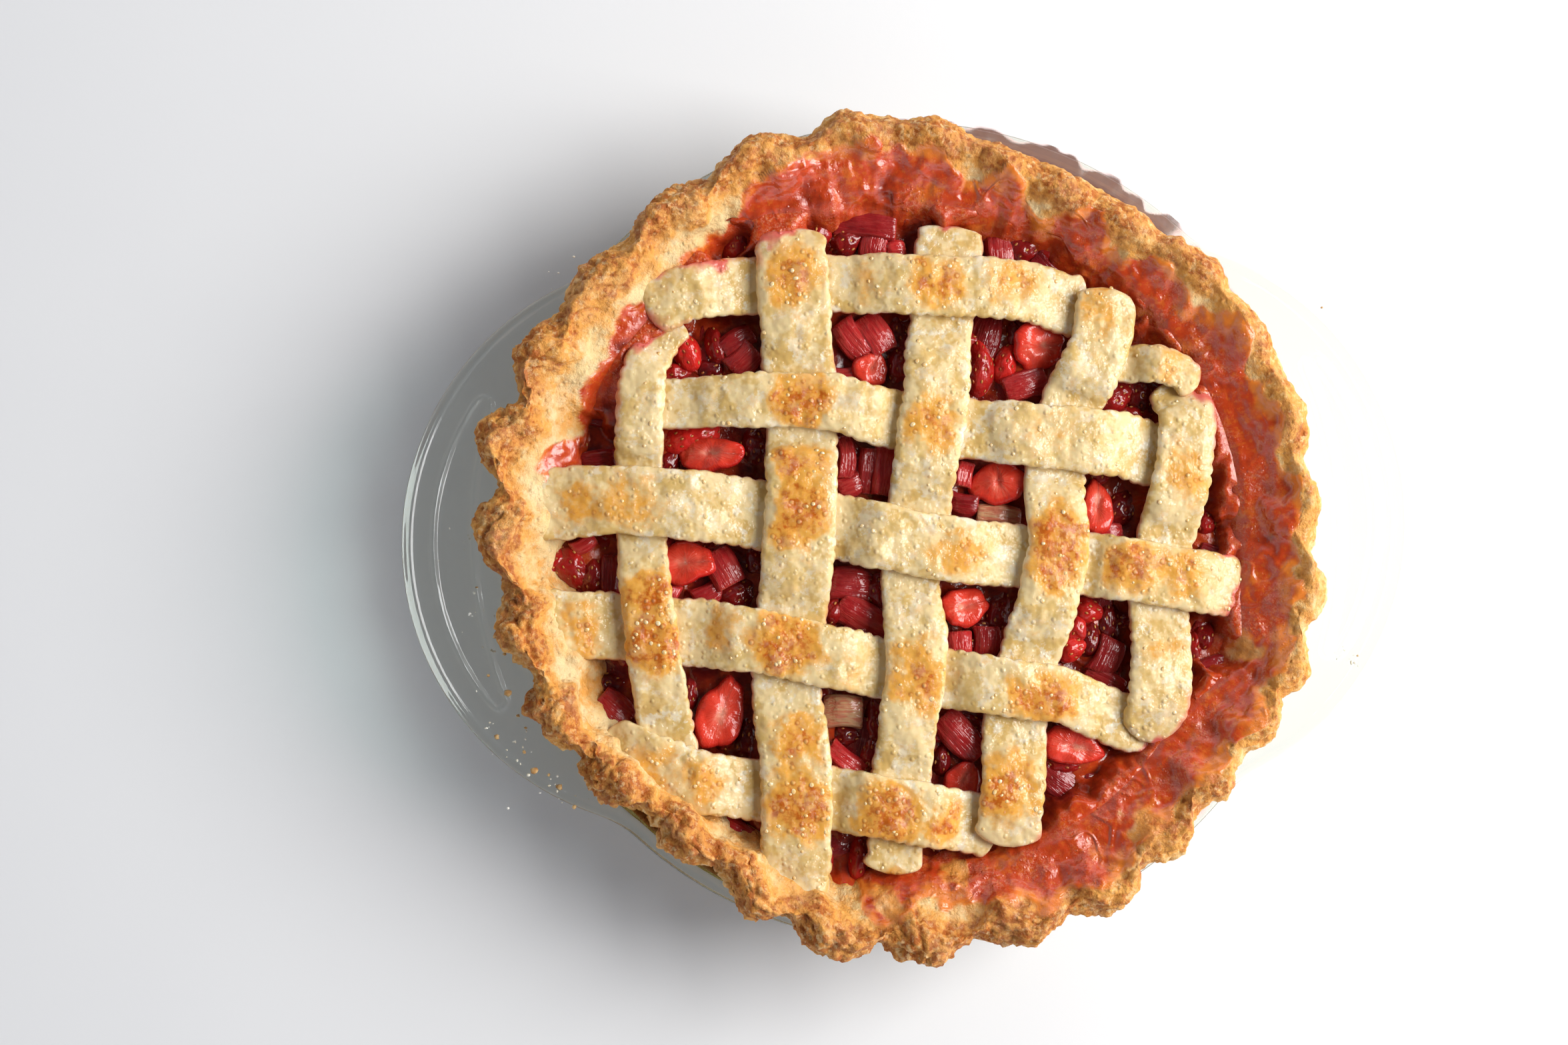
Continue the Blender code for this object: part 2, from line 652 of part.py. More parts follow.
def gap_centre(uprights, crossers, column, row):
    """Centre of the gap right of an upright and below a crosser; 0 stands for the rim."""
    if column == 0:
        beside, step = (1, 1), Vector((-GAP_LEFT, 0.0))
    else:
        beside, step = (column, min(column + 1, len(uprights))), Vector((0.0, 0.0))
    if row == 0:
        above, rise = (1, 1), Vector((0.0, GAP_ABOVE))
    else:
        above, rise = (row, min(row + 1, len(crossers) - 1)), Vector((0.0, 0.0))
    total = Vector((0.0, 0.0))
    for upright in beside:
        for crosser in above:
            total += meeting(uprights[upright - 1], crossers[crosser - 1])
    return total / 4 + step + rise


def make_filling(strips, uprights, crossers, material):
    """Strawberry and rhubarb pieces in syrup, one body out to its uneven outline."""
    angles = [2 * math.pi * step / CORE_SIDES for step in range(CORE_SIDES)]
    core = revolved("filling", angles, lambda angle: core_section(strips, angle))
    filling = new_object("filling", core, material)
    draw = random.Random(SEED)
    pieces = []
    for (column, row), fruit in FRUIT.items():
        centre = gap_centre(uprights, crossers, column, row)
        for kind, east, north, turn, length in fruit:
            spot = centre + Vector((east, north))
            mesh = rhubarb_mesh(length) if kind == RHUBARB else berry_mesh(length)
            piece = new_object(kind, mesh, material)
            top = lattice_z(spot.x, spot.y) - FRUIT_DEPTH - FRUIT_UNEVEN * draw.random()
            piece.location = (spot.x, spot.y, top)
            tilt = RHUBARB_TILT * draw.uniform(-1, 1) if kind == RHUBARB else 0.0
            piece.rotation_euler = (tilt, 0.0, math.radians(turn))
            pieces.append(piece)
    union(filling, pieces)


def main():
    """Builds the whole pie."""
    for old in list(bpy.data.objects):
        bpy.data.objects.remove(old)
    glass = new_material("clear_glass", GLASS_COLOUR, 0.03, transmission=1.0)
    pastry = new_material("baked_pastry", CRUST_COLOUR, 0.60)
    dough = new_material("glazed_dough", DOUGH_COLOUR, 0.38)
    fruit = new_material("fruit_in_syrup", FRUIT_COLOUR, 0.22)
    make_dish(glass)
    make_case(pastry)
    uprights, crossers = weave()
    strips = uprights + crossers
    for strip in strips:
        new_object(strip.name, strip.mesh(), dough)
    make_filling(strips, uprights, crossers, fruit)


main()
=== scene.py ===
"""The looks of the strawberry rhubarb pie and its clear glass dish.

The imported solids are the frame. Each class below makes one sub-assembly of the pie, places it
where the solids are and gives it its finish. All sizes are in metres, +Z is up, and the origin
is the centre of the dish's foot, on the surface it stands on.
"""

import itertools
import logging
import math
from dataclasses import dataclass, field
from enum import Enum

import bmesh
import bpy
import numpy as np
from mathutils import Euler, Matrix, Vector


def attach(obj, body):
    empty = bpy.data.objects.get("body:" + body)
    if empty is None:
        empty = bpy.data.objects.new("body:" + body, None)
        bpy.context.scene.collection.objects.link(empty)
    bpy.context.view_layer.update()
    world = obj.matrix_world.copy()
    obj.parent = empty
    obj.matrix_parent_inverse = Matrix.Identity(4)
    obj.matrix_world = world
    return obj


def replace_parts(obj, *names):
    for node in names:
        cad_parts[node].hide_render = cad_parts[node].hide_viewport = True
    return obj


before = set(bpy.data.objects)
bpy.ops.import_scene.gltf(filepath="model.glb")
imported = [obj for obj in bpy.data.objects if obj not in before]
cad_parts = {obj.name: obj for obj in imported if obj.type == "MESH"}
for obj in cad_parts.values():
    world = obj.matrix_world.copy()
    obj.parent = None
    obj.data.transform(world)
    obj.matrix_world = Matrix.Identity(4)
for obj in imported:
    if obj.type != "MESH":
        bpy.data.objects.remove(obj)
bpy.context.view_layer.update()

Array = np.ndarray
Colour = tuple[float, float, float]

BODY = "root"

log = logging.getLogger("pie")


class Slot(Enum):
    """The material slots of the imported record."""

    GLASS = "clear_glass"
    PASTRY = "baked_pastry"
    DOUGH = "glazed_dough"
    FRUIT = "fruit_in_syrup"


class Fruit(Enum):
    """What a piece of fruit in the filling is, and which side of it is up."""

    RHUBARB = "rhubarb"
    SEEDED = "strawberry, skin up"
    CUT = "strawberry, cut face up"


RHUBARB, SEEDED, CUT = Fruit


# ---- Shared shapes ----


def joined(*parts: Array | float) -> Array:
    """Puts numbers side by side, as the coordinates of points."""
    return np.stack(np.broadcast_arrays(*parts), axis=-1)


def ease(low: float | Array, high: float | Array, value: Array) -> Array:
    """0 below low, 1 above high, and an even rise between."""
    share = np.clip((value - low) / (high - low), 0.0, 1.0)
    return share * share * (3 - 2 * share)


def round_table(stops: tuple[tuple[float, float], ...], angle: Array) -> Array:
    """Values read from stops round the pie, with an even curve between them.

    Args:
        stops: (degrees from +X, value) in rising order, the first at 0.
        angle: Angles in radians.

    Returns:
        The value at each angle.
    """
    degrees = np.degrees(angle) % 360
    closed = [*stops, (stops[0][0] + 360, stops[0][1])]
    value = np.zeros_like(degrees)
    for (a0, v0), (a1, v1) in zip(closed, closed[1:]):
        here = (degrees >= a0) & (degrees < a1)
        value = np.where(here, v0 + (v1 - v0) * ease(a0, a1, degrees), value)
    return value


@dataclass(frozen=True)
class PieShape:
    """The sizes and outlines that the pieces share."""

    dish_height: float = 0.044
    dish_radius: float = 0.1236
    ear_centre: float = 0.0672
    ear_radius: float = 0.0853
    ear_blend: float = 0.004
    glass: float = 0.0048
    foot_radius: float = 0.094
    well_radius: float = 0.1165
    rim_height: float = 0.015
    rim_width: float = 0.0105
    flutes: int = 29
    flute_swing: float = 0.0024
    flute_start: float = 3.84
    flute_drift: tuple = ((1, 2.1, 0.25), (3, 0.87, 2.35), (4, 0.67, 2.0))
    rim_stops: tuple = (
        (0, 0.1225), (30, 0.123), (58, 0.1185), (98, 0.1255), (140, 0.1275), (165, 0.132),
        (200, 0.1265), (225, 0.1225), (260, 0.1285), (285, 0.128), (319, 0.122), (337, 0.126),
    )
    lattice_centre: float = 0.0492
    lattice_fall: float = 0.0042
    lattice_radius: float = 0.1105
    syrup_depth: float = 0.0085
    # Radius where the crust's inner slope comes up out of the filling.
    slope_foot: tuple = (
        (0, 0.1005), (60, 0.0985), (100, 0.1), (120, 0.1085), (140, 0.103), (161, 0.1085),
        (172, 0.106), (183, 0.1125), (195, 0.106), (206, 0.112), (220, 0.103), (236, 0.108),
        (246, 0.105), (255, 0.113), (266, 0.105), (300, 0.101), (320, 0.0985), (336, 0.106),
        (348, 0.101),
    )

    @property
    def case_rim(self) -> float:
        """Height at which the case's rim rests on the flange."""
        return self.dish_height + 0.0005

    def lattice_height(self, x: Array, y: Array) -> Array:
        """Height of the middle of the woven sheet."""
        return self.lattice_centre - self.lattice_fall * (x * x + y * y) / self.lattice_radius**2

    def wall_radius(self, z: Array) -> Array:
        """Radius of the glass wall's inner face at a height."""
        share = np.clip((z - self.glass - 0.0022) / (self.dish_height - 0.0047 - self.glass), 0, 1)
        return self.foot_radius - 0.001 + (self.well_radius - self.foot_radius - 0.0005) * share

    def rim_reach(self, angle: Array) -> Array:
        """How far the crust's rim reaches from the centre."""
        return round_table(self.rim_stops, angle)

    def foot(self, angle: Array) -> Array:
        """Radius where the crust's inner slope comes up out of the filling."""
        return round_table(self.slope_foot, angle)

    def flute_phase(self, angle: Array) -> Array:
        """How many turns, in radians, the crimping has gone through at each angle."""
        drift = sum(swing * np.sin(times * angle + start) for times, swing, start in self.flute_drift)
        return self.flutes * angle + self.flute_start + drift


class Relief:
    """Repeatable bumpiness over points, worked out for whole arrays at once."""

    def __init__(self, seed: int) -> None:
        """Draws the tables that the noise is read from.

        Args:
            seed: Makes the same relief each time.
        """
        draw = np.random.default_rng(seed)
        order = draw.permutation(256)
        self.order = np.concatenate([order, order, order])
        slopes = draw.normal(size=(256, 3))
        self.slopes = slopes / np.linalg.norm(slopes, axis=1, keepdims=True)
        self.chance = draw.random((256, 3))

    def _key(self, cell: Array) -> Array:
        """A table place for each whole-numbered cell."""
        x, y, z = (cell[..., axis] & 255 for axis in range(3))
        return self.order[self.order[self.order[x] + y] + z]

    def noise(self, points: Array, size: float | tuple[float, float, float]) -> Array:
        """Smooth noise.

        Args:
            points: Places, with x, y and z in the last axis.
            size: How far apart its features are, the same each way or one for each axis.

        Returns:
            A value from about -1 to 1 for each place.
        """
        spot = points / np.asarray(size)
        cell = np.floor(spot).astype(int)
        part = spot - cell
        fade = part**3 * (part * (part * 6 - 15) + 10)
        total = np.zeros(points.shape[:-1])
        for corner in itertools.product((0, 1), repeat=3):
            offset = np.array(corner)
            slope = self.slopes[self._key(cell + offset)]
            reach = ((part - offset) * slope).sum(axis=-1)
            total += reach * np.prod(np.where(offset, fade, 1 - fade), axis=-1)
        return total * 1.7

    def layered(self, points: Array, size: float, layers: int = 3) -> Array:
        """Noise with finer noise laid on it, each layer half the size and half the height."""
        return sum(self.noise(points + 7.3 * n, size / 2**n) / 2**n for n in range(layers))

    def creases(self, points: Array, size: float, sharpness: float = 4.5) -> Array:
        """Thin creases: 1 along the middle of one, and 0 off it."""
        return np.clip(1 - sharpness * np.abs(self.noise(points, size)), 0.0, 1.0)

    def domes(self, u: Array, v: Array, pitch: float, share: float, layer: int = 0) -> Array:
        """Round bumps scattered over a surface.

        Args:
            u: Place along the surface.
            v: Place across it.
            pitch: Size of the cells that hold one bump each.
            share: Share of the cells that have a bump.
            layer: Number of this scatter, so that two can differ.

        Returns:
            1 at the top of a bump, and 0 off it.
        """
        cell = np.floor(joined(u, v) / pitch).astype(int)
        height = np.zeros(u.shape)
        for step in itertools.product((-1, 0, 1), repeat=2):
            near = cell + np.array(step)
            luck = self.chance[self._key(joined(near[..., 0], near[..., 1], layer))]
            across = u / pitch - near[..., 0] - 0.2 - 0.6 * luck[..., 0]
            along = v / pitch - near[..., 1] - 0.2 - 0.6 * luck[..., 1]
            radius = 0.28 + 0.3 * luck[..., 2]
            dome = np.clip(1 - (across**2 + along**2) / radius**2, 0.0, 1.0)
            kept = (luck[..., 0] * 7.13 + luck[..., 1] * 3.71) % 1.0 < share
            height = np.maximum(height, np.where(kept, dome, 0.0))
        return height


SHAPE = PieShape()
RELIEF = Relief(seed=11)


def even_line(knots: Array, step: float) -> tuple[Array, Array]:
    """An even curve through plan points, read again at equal steps.

    Args:
        knots: The points it runs through.
        step: About how far apart it is read.

    Returns:
        The points, and the direction of the line at each.
    """
    keys = np.concatenate([2 * knots[:1] - knots[1:2], knots, 2 * knots[-1:] - knots[-2:-1]])
    a, b, c, d = (keys[n:len(keys) - 3 + n, None] for n in range(4))
    t = (np.arange(40) / 40)[None, :, None]
    curve = 0.5 * (2 * b + (c - a) * t + (2 * a - 5 * b + 4 * c - d) * t**2
                   + (3 * b - a - 3 * c + d) * t**3)
    dense = np.concatenate([curve.reshape(-1, 2), keys[-2:-1]])
    run = np.concatenate([[0.0], np.cumsum(np.linalg.norm(np.diff(dense, axis=0), axis=1))])
    wanted = np.linspace(0.0, run[-1], max(2, round(run[-1] / step)) + 1)
    line = joined(*(np.interp(wanted, run, dense[:, axis]) for axis in (0, 1)))
    ahead = np.gradient(line, axis=0)
    return line, ahead / np.linalg.norm(ahead, axis=1, keepdims=True)


def rounded(keys: Array, times: int) -> Array:
    """Rounds the corners of many lines at once by cutting them off, again and again.

    Args:
        keys: Points with shape (lines, points, axes).
        times: How often the corners are cut.

    Returns:
        The rounder lines, whose ends stay where they are.
    """
    for _ in range(times):
        near = 0.75 * keys[:, :-1] + 0.25 * keys[:, 1:]
        far = 0.25 * keys[:, :-1] + 0.75 * keys[:, 1:]
        middle = np.stack([near, far], axis=2).reshape(len(keys), -1, keys.shape[2])
        keys = np.concatenate([keys[:, :1], middle, keys[:, -1:]], axis=1)
    return keys


def refined(keys: Array, longest: float) -> Array:
    """Adds points to many lines at once, until no stretch is longer than this."""
    parts = []
    for first, second in zip(np.moveaxis(keys, 1, 0), np.moveaxis(keys, 1, 0)[1:]):
        count = max(1, math.ceil(np.linalg.norm(second - first, axis=1).max() / longest))
        share = (np.arange(count) / count)[None, :, None]
        parts.append(first[:, None] + (second - first)[:, None] * share)
    return np.concatenate([*parts, keys[:, -1:]], axis=1)


def turned(sections: Array, angles: Array) -> Array:
    """Places sections of (radius, height) round the axis, as points with x, y and z."""
    radius, height = sections[..., 0], sections[..., 1]
    x, y = np.cos(angles)[:, None], np.sin(angles)[:, None]
    return joined(radius * x, radius * y, height)


def all_round(count: int) -> Array:
    """Evenly spaced angles."""
    return np.arange(count) * 2 * math.pi / count


def grid_faces(rows: int, columns: int, round_rows: bool, round_columns: bool) -> Array:
    """Quads between the neighbouring points of a grid.

    Args:
        rows: Number of rows.
        columns: Number of points in a row.
        round_rows: Whether the last row joins the first.
        round_columns: Whether the last point of a row joins its first.

    Returns:
        Four point numbers for each quad.
    """
    row, column = np.meshgrid(
        np.arange(rows if round_rows else rows - 1),
        np.arange(columns if round_columns else columns - 1),
        indexing="ij",
    )
    after, beside = (row + 1) % rows, (column + 1) % columns
    corners = ((row, column), (row, beside), (after, beside), (after, column))
    return np.stack([r * columns + c for r, c in corners], axis=-1).reshape(-1, 4)


def grid_normals(points: Array, round_rows: bool, round_columns: bool) -> Array:
    """Directions straight out of a grid's surface, on the side that grid_faces faces."""
    def run(axis: int, closed: bool) -> Array:
        """Difference across each point's neighbours."""
        if closed:
            return np.roll(points, -1, axis=axis) - np.roll(points, 1, axis=axis)
        return np.gradient(points, axis=axis)

    out = np.cross(run(1, round_columns), run(0, round_rows))
    return out / np.maximum(np.linalg.norm(out, axis=-1, keepdims=True), 1e-12)


def small_ball() -> tuple[Array, list[list[int]]]:
    """A ball of radius 1 with six sides, drawn out along X, and its faces."""
    turn = all_round(6)
    points = [(1.0, 0.0, 0.0)]
    for lean in (0.7, 1.57, 2.44):
        points += [(math.cos(lean), math.sin(lean) * math.cos(t), math.sin(lean) * math.sin(t)) for t in turn]
    points.append((-1.0, 0.0, 0.0))
    faces = [[0, 1 + n, 1 + (n + 1) % 6] for n in range(6)]
    for ring in (1, 7):
        faces += [[ring + n, ring + 6 + n, ring + 6 + (n + 1) % 6, ring + (n + 1) % 6] for n in range(6)]
    faces += [[13 + (n + 1) % 6, 13 + n, 19] for n in range(6)]
    return np.array(points), faces


@dataclass
class Stock:
    """Points, faces and masks gathered for one piece, which may be many small shapes."""

    points: list[Array] = field(default_factory=list)
    faces: list[list[int]] = field(default_factory=list)
    masks: dict[str, list[Array]] = field(default_factory=dict)
    count: int = 0

    def add(self, points: Array, faces: Array | list, **masks: Array | float) -> None:
        """Adds one shape.

        Args:
            points: Its points, in any grid shape with x, y and z last.
            faces: Its faces as point numbers.
            **masks: A number or vector for each point, by the name that a material reads.
        """
        flat = points.reshape(-1, 3)
        self.points.append(flat)
        if isinstance(faces, Array):
            self.faces.extend((faces + self.count).tolist())
        else:
            self.faces.extend([[index + self.count for index in face] for face in faces])
        for name, value in masks.items():
            depth = 3 if np.ndim(value) == points.ndim and np.shape(value)[-1] == 3 else 1
            spread = np.broadcast_to(value, points.shape[:-1] if depth == 1 else points.shape)
            self.masks.setdefault(name, []).append(spread.reshape(-1, depth))
        self.count += len(flat)

    def piece(
        self, name: str, material: bpy.types.Material, slot: Slot, merged: bool = False
    ) -> bpy.types.Object:
        """Makes the piece, and lets it ride on the pie.

        Args:
            name: Its name.
            material: Its finish.
            slot: The record's slot that the finish belongs to. It is not used.
            merged: Whether points that share a place, as on the axis, become one.

        Returns:
            The new object.
        """
        mesh = bpy.data.meshes.new(name)
        mesh.from_pydata(np.concatenate(self.points).tolist(), [], self.faces)
        for label, parts in self.masks.items():
            values = np.concatenate(parts).astype(np.float32)
            kind, reader = ("FLOAT_VECTOR", "vector") if values.shape[1] == 3 else ("FLOAT", "value")
            layer = mesh.attributes.new(label, kind, "POINT")
            layer.data.foreach_set(reader, values.ravel())
        if merged:
            sheet = bmesh.new()
            sheet.from_mesh(mesh)
            bmesh.ops.remove_doubles(sheet, verts=sheet.verts, dist=1e-7)
            sheet.to_mesh(mesh)
            sheet.free()
        mesh.shade_smooth()
        mesh.materials.append(material)
        piece = bpy.data.objects.new(name, mesh)
        bpy.context.scene.collection.objects.link(piece)
        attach(piece, BODY)
        log.info("%s: %d points, %d faces", name, len(mesh.vertices), len(mesh.polygons))
        return piece


# ---- Node work ----


Socket = bpy.types.NodeSocket
Node = bpy.types.Node
Feed = Socket | float | tuple[float, ...] | None
Feeds = dict[str | int, Feed]


class Net:
    """Places nodes in one tree and joins them."""

    def __init__(self, tree: bpy.types.NodeTree, places: Socket | None = None) -> None:
        """Keeps the tree, and where points' places come from.

        Args:
            tree: The tree that is worked on.
            places: Each point's place, which is read from the piece itself if this isn't given.
        """
        self.tree = tree
        self.places = places or self.add("TexCoord").outputs["Object"]

    def feed(self, node: Node, feeds: Feeds) -> None:
        """Joins a node's sockets to others, or sets their values."""
        for key, value in feeds.items():
            socket = node.inputs[key]
            if isinstance(value, Socket):
                self.tree.links.new(value, socket)
            elif value is not None:
                plain = socket.type == "RGBA" and len(value) == 3
                socket.default_value = (*value, 1.0) if plain else value

    def add(self, kind: str, feeds: Feeds | None = None, **settings: object) -> Node:
        """Places a node.

        Args:
            kind: The node's class name after ShaderNode.
            feeds: What goes into its sockets, by name or number.
            **settings: The node's own properties.

        Returns:
            The node.
        """
        node = self.tree.nodes.new("ShaderNode" + kind)
        for key, value in settings.items():
            setattr(node, key, value)
        self.feed(node, feeds or {})
        return node

    def placed(self, group: bpy.types.NodeTree, **feeds: Feed) -> bpy.types.NodeOutputs:
        """Places a node group at the same places, and gives its outputs."""
        return self.add("Group", {"Places": self.places, **feeds}, node_tree=group).outputs

    def math(self, operation: str, first: Feed, second: Feed = None, third: Feed = None) -> Socket:
        """Works out one sum."""
        return self.add("Math", {0: first, 1: second, 2: third}, operation=operation).outputs[0]

    def times(self, first: Feed, second: Feed, plus: Feed = None) -> Socket:
        """Multiplies two values, and adds a third where there is one."""
        return self.math("MULTIPLY" if plus is None else "MULTIPLY_ADD", first, second, plus)

    def blend(self, share: Feed, low: Feed, high: Feed) -> Socket:
        """Mixes two colours."""
        return self.add("Mix", {0: share, 6: low, 7: high}, data_type="RGBA").outputs[2]

    def ranged(self, value: Feed, low: float, high: float, start: float = 0.0, end: float = 1.0) -> Socket:
        """Turns a stretch of values into another, with an even rise."""
        feeds = {0: value, 1: low, 2: high, 3: start, 4: end}
        return self.add("MapRange", feeds, interpolation_type="SMOOTHSTEP").outputs[0]

    def noise(self, size: float, detail: float = 2.0, rough: float = 0.5, places: Feed = None) -> Socket:
        """Noise from 0 to 1, with features of this size."""
        feeds = {"Vector": places or self.places, "Scale": 1 / size, "Detail": detail, "Roughness": rough}
        return self.add("TexNoise", feeds).outputs[0]

    def mask(self, name: str, output: str = "Fac") -> Socket:
        """A mask of the piece, made with its mesh."""
        return self.add("Attribute", attribute_name=name).outputs[output]

    def scaled(self, vector: Feed, by: tuple[float, float, float]) -> Socket:
        """Stretches places along each axis."""
        return self.add("VectorMath", {0: vector, 1: by}, operation="MULTIPLY").outputs[0]

    def bump(self, shader: Node, height: Feed, reach: float, *sockets: str) -> None:
        """Raises a shader's surface.

        Args:
            shader: The shader.
            height: The height, from 0 to 1.
            reach: How far up a height of 1 is, in metres.
            *sockets: The normals that show it, which are both if none is named.
        """
        normal = self.add("Bump", {"Height": height, "Distance": reach, "Strength": 1.0}).outputs[0]
        self.feed(shader, dict.fromkeys(sockets or ("Normal", "Coat Normal"), normal))


class Effects:
    """Node groups that more than one finish uses, each built once."""

    def __init__(self) -> None:
        """Builds the groups."""
        self.baked = self._baked()
        self.pimples = self._pimples()
        self.syrup = self._syrup()

    @staticmethod
    def _group(name: str, takes: dict[str, object], gives: dict[str, str]) -> tuple:
        """Starts a group with named inputs, of which Places is the first, and outputs.

        Args:
            name: The group's name.
            takes: The other inputs and their usual values. A tuple makes a colour.
            gives: Outputs and their socket kinds.

        Returns:
            The group's net, its inputs' sockets, and its output node.
        """
        group = bpy.data.node_groups.new(name, "ShaderNodeTree")
        group.interface.new_socket("Places", in_out="INPUT", socket_type="NodeSocketVector")
        for label, value in takes.items():
            kind = "Color" if isinstance(value, tuple) else "Float"
            socket = group.interface.new_socket(label, in_out="INPUT", socket_type="NodeSocket" + kind)
            socket.default_value = (*value, 1.0) if kind == "Color" else value
        for label, kind in gives.items():
            group.interface.new_socket(label, in_out="OUTPUT", socket_type="NodeSocket" + kind)
        take = group.nodes.new("NodeGroupInput").outputs
        return Net(group, take["Places"]), take, group.nodes.new("NodeGroupOutput")

    def _baked(self) -> bpy.types.NodeTree:
        """Pale dough that turns gold and then brown, in patches and freckles."""
        takes = {"Browned": 0.3, "Pale": (0.8, 0.7, 0.5), "Gold": (0.7, 0.4, 0.1), "Brown": (0.5, 0.2, 0.05)}
        net, take, end = self._group("baked", takes, {"Colour": "Color", "Heat": "Float"})
        fine = net.times(net.noise(0.0026, 3.0, 0.6), 0.9, -1.0)
        swing = net.times(net.noise(0.006, 3.0, 0.6), 1.1, fine)
        swing = net.times(swing, net.times(take["Browned"], 0.9, 0.35))
        heat = net.math("ADD", take["Browned"], swing)
        gold = net.blend(net.ranged(heat, 0.15, 0.55), take["Pale"], take["Gold"])
        veins = net.ranged(net.noise(0.0022, 3.0, 0.6), 0.42, 0.58, 0.35, 1.0)
        scorched = net.times(net.ranged(heat, 0.55, 0.95), veins)
        net.feed(end, {"Colour": net.blend(scorched, gold, take["Brown"]), "Heat": heat})
        return net.tree

    def _pimples(self) -> bpy.types.NodeTree:
        """Small round bumps, where a share of the cells has one, and a ring round each."""
        takes = {"Scale": 700.0, "Share": 0.5}
        net, take, end = self._group("pimples", takes, {"Height": "Float", "Ring": "Float"})
        cells = net.add("TexVoronoi", {"Vector": net.places, "Scale": take["Scale"]}).outputs
        away = cells["Distance"]
        luck = net.add("SeparateColor", {0: cells["Color"]}).outputs[0]
        kept = net.math("LESS_THAN", luck, take["Share"])
        height = net.times(net.ranged(away, 0.05, 0.46, 1.0, 0.0), kept)
        ring = net.times(net.ranged(away, 0.22, 0.4), net.ranged(away, 0.42, 0.6, 1.0, 0.0))
        net.feed(end, {"Height": height, "Ring": net.times(ring, kept)})
        return net.tree

    def _syrup(self) -> bpy.types.NodeTree:
        """Red syrup: orange where it is thin over dough, and nearly black where it is deep, a colour that also
        paints the shade in the gaps under the strips.
        """
        takes = {"Depth": 0.5, "Foam": 0.0, "Thin": (0.74, 0.205, 0.026), "Red": (0.52, 0.052, 0.01),
                 "DeepAndShade": (0.12, 0.004, 0.003), "FrothAndGlints": (0.8, 0.34, 0.2)}
        net, take, end = self._group("syrup", takes, {"Colour": "Color", "Height": "Float"})
        depth = net.math("ADD", take["Depth"], net.times(net.noise(0.008, 3.0, 0.6), 1.0, -0.5))
        red = net.blend(net.ranged(depth, 0.0, 0.4), take["Thin"], take["Red"])
        # The near-black is partly deep syrup and partly painted shade.
        colour = net.blend(net.ranged(depth, 0.58, 1.05), red, take["DeepAndShade"])
        bubbles = net.noise(0.001, 3.0, 0.7)
        # Froth is real pale foam, and also painted glints: pale pink specks that stand for the highlights of
        # tiny bubbles.
        frothy = net.math("MAXIMUM", net.ranged(net.noise(0.011), 0.46, 0.64, 0.0, 0.7), take["Foam"])
        froth_and_glints = net.times(net.ranged(bubbles, 0.46, 0.68, 0.0, 0.55), frothy)
        froth_and_glints = net.times(froth_and_glints, net.ranged(depth, 0.45, 0.75, 1.0, 0.0))
        pulp = net.ranged(net.noise(0.0019, 4.0, 0.7), 0.48, 0.66, 0.0, 0.4)
        pulp = net.times(pulp, net.ranged(depth, 0.35, 0.8, 1.0, 0.15))
        colour = net.blend(froth_and_glints, net.blend(pulp, colour, take["Thin"]), take["FrothAndGlints"])
        small = net.placed(self.pimples, Scale=900.0, Share=0.35)
        height = net.times(small["Height"], 0.6, bubbles)
        height = net.times(height, net.ranged(frothy, 0.0, 1.0, 0.14, 0.38))
        lines = net.math("ABSOLUTE", net.math("SUBTRACT", net.noise(0.012, 1.0), 0.5))
        ruffled = net.ranged(net.noise(0.015, 1.0), 0.5, 0.62, 0.0, 0.45)
        soft = net.times(net.ranged(lines, 0.0, 0.05, 1.0, 0.0), ruffled, net.noise(0.0042, 1.0))
        net.feed(end, {"Colour": colour, "Height": net.math("ADD", soft, height)})
        return net.tree


# ---- Finishes ----


@dataclass(frozen=True)
class Finish:
    """What every finish has. The values that are the same all over sit on the shader itself."""

    name: str
    roughness: float = 0.5
    coat_roughness: float = 0.08
    specular: float = 0.5
    ior: float = 1.45
    subsurface: float = 0.0
    subsurface_reach: float = 0.0012
    effects: Effects | None = None

    def material(self) -> bpy.types.Material:
        """Makes the material."""
        material = bpy.data.materials.new(self.name)
        material.use_nodes = True
        net, shader = Net(material.node_tree), material.node_tree.nodes["Principled BSDF"]
        net.feed(shader, {
            "Roughness": self.roughness, "Metallic": 0.0, "IOR": self.ior,
            "Specular IOR Level": self.specular, "Coat Roughness": self.coat_roughness,
            "Subsurface Weight": self.subsurface, "Subsurface Radius": (1.0, 0.45, 0.25),
            "Subsurface Scale": self.subsurface_reach,
        })
        self.dress(net, shader)
        return material

    def dress(self, net: Net, shader: Node) -> None:
        """Feeds the shader with what varies over the surface."""
        raise NotImplementedError


@dataclass(frozen=True)
class GlassFinish(Finish):
    """Clear pressed glass, faintly green where it is looked through lengthwise. Its colour is warmed with a
    painted reflection of the warm room.
    """

    # Painted reflection: the clean glass colour is tinted warm to stand for the warm room that it reflects.
    clean_warm_reflection: Colour = (0.995, 0.935, 0.89)
    smeared: Colour = (0.93, 0.89, 0.85)
    shade: Colour = (0.9, 0.94, 0.94)
    tint: Colour = (0.5, 0.87, 0.85)
    density: float = 42.0

    def dress(self, net: Net, shader: Node) -> None:
        """Feeds the shader, and lets light through in shadows and green into the depth."""
        smear = net.ranged(net.noise(0.018, 4.0, 0.65), 0.45, 0.8, 0.0, 0.1)
        colour = net.blend(smear, self.clean_warm_reflection, self.smeared)
        net.feed(shader, {"Transmission Weight": 1.0, "Roughness": smear, "Base Color": colour})
        net.bump(shader, net.noise(0.009, 1.0), 0.00004, "Normal")
        clear = net.add("BsdfTransparent", {"Color": self.shade}).outputs[0]
        shadow = net.add("LightPath").outputs["Is Shadow Ray"]
        either = net.add("MixShader", {0: shadow, 1: shader.outputs[0], 2: clear}).outputs[0]
        green = net.add("VolumeAbsorption", {"Color": self.tint, "Density": self.density}).outputs[0]
        net.feed(net.tree.nodes["Material Output"], {"Surface": either, "Volume": green})


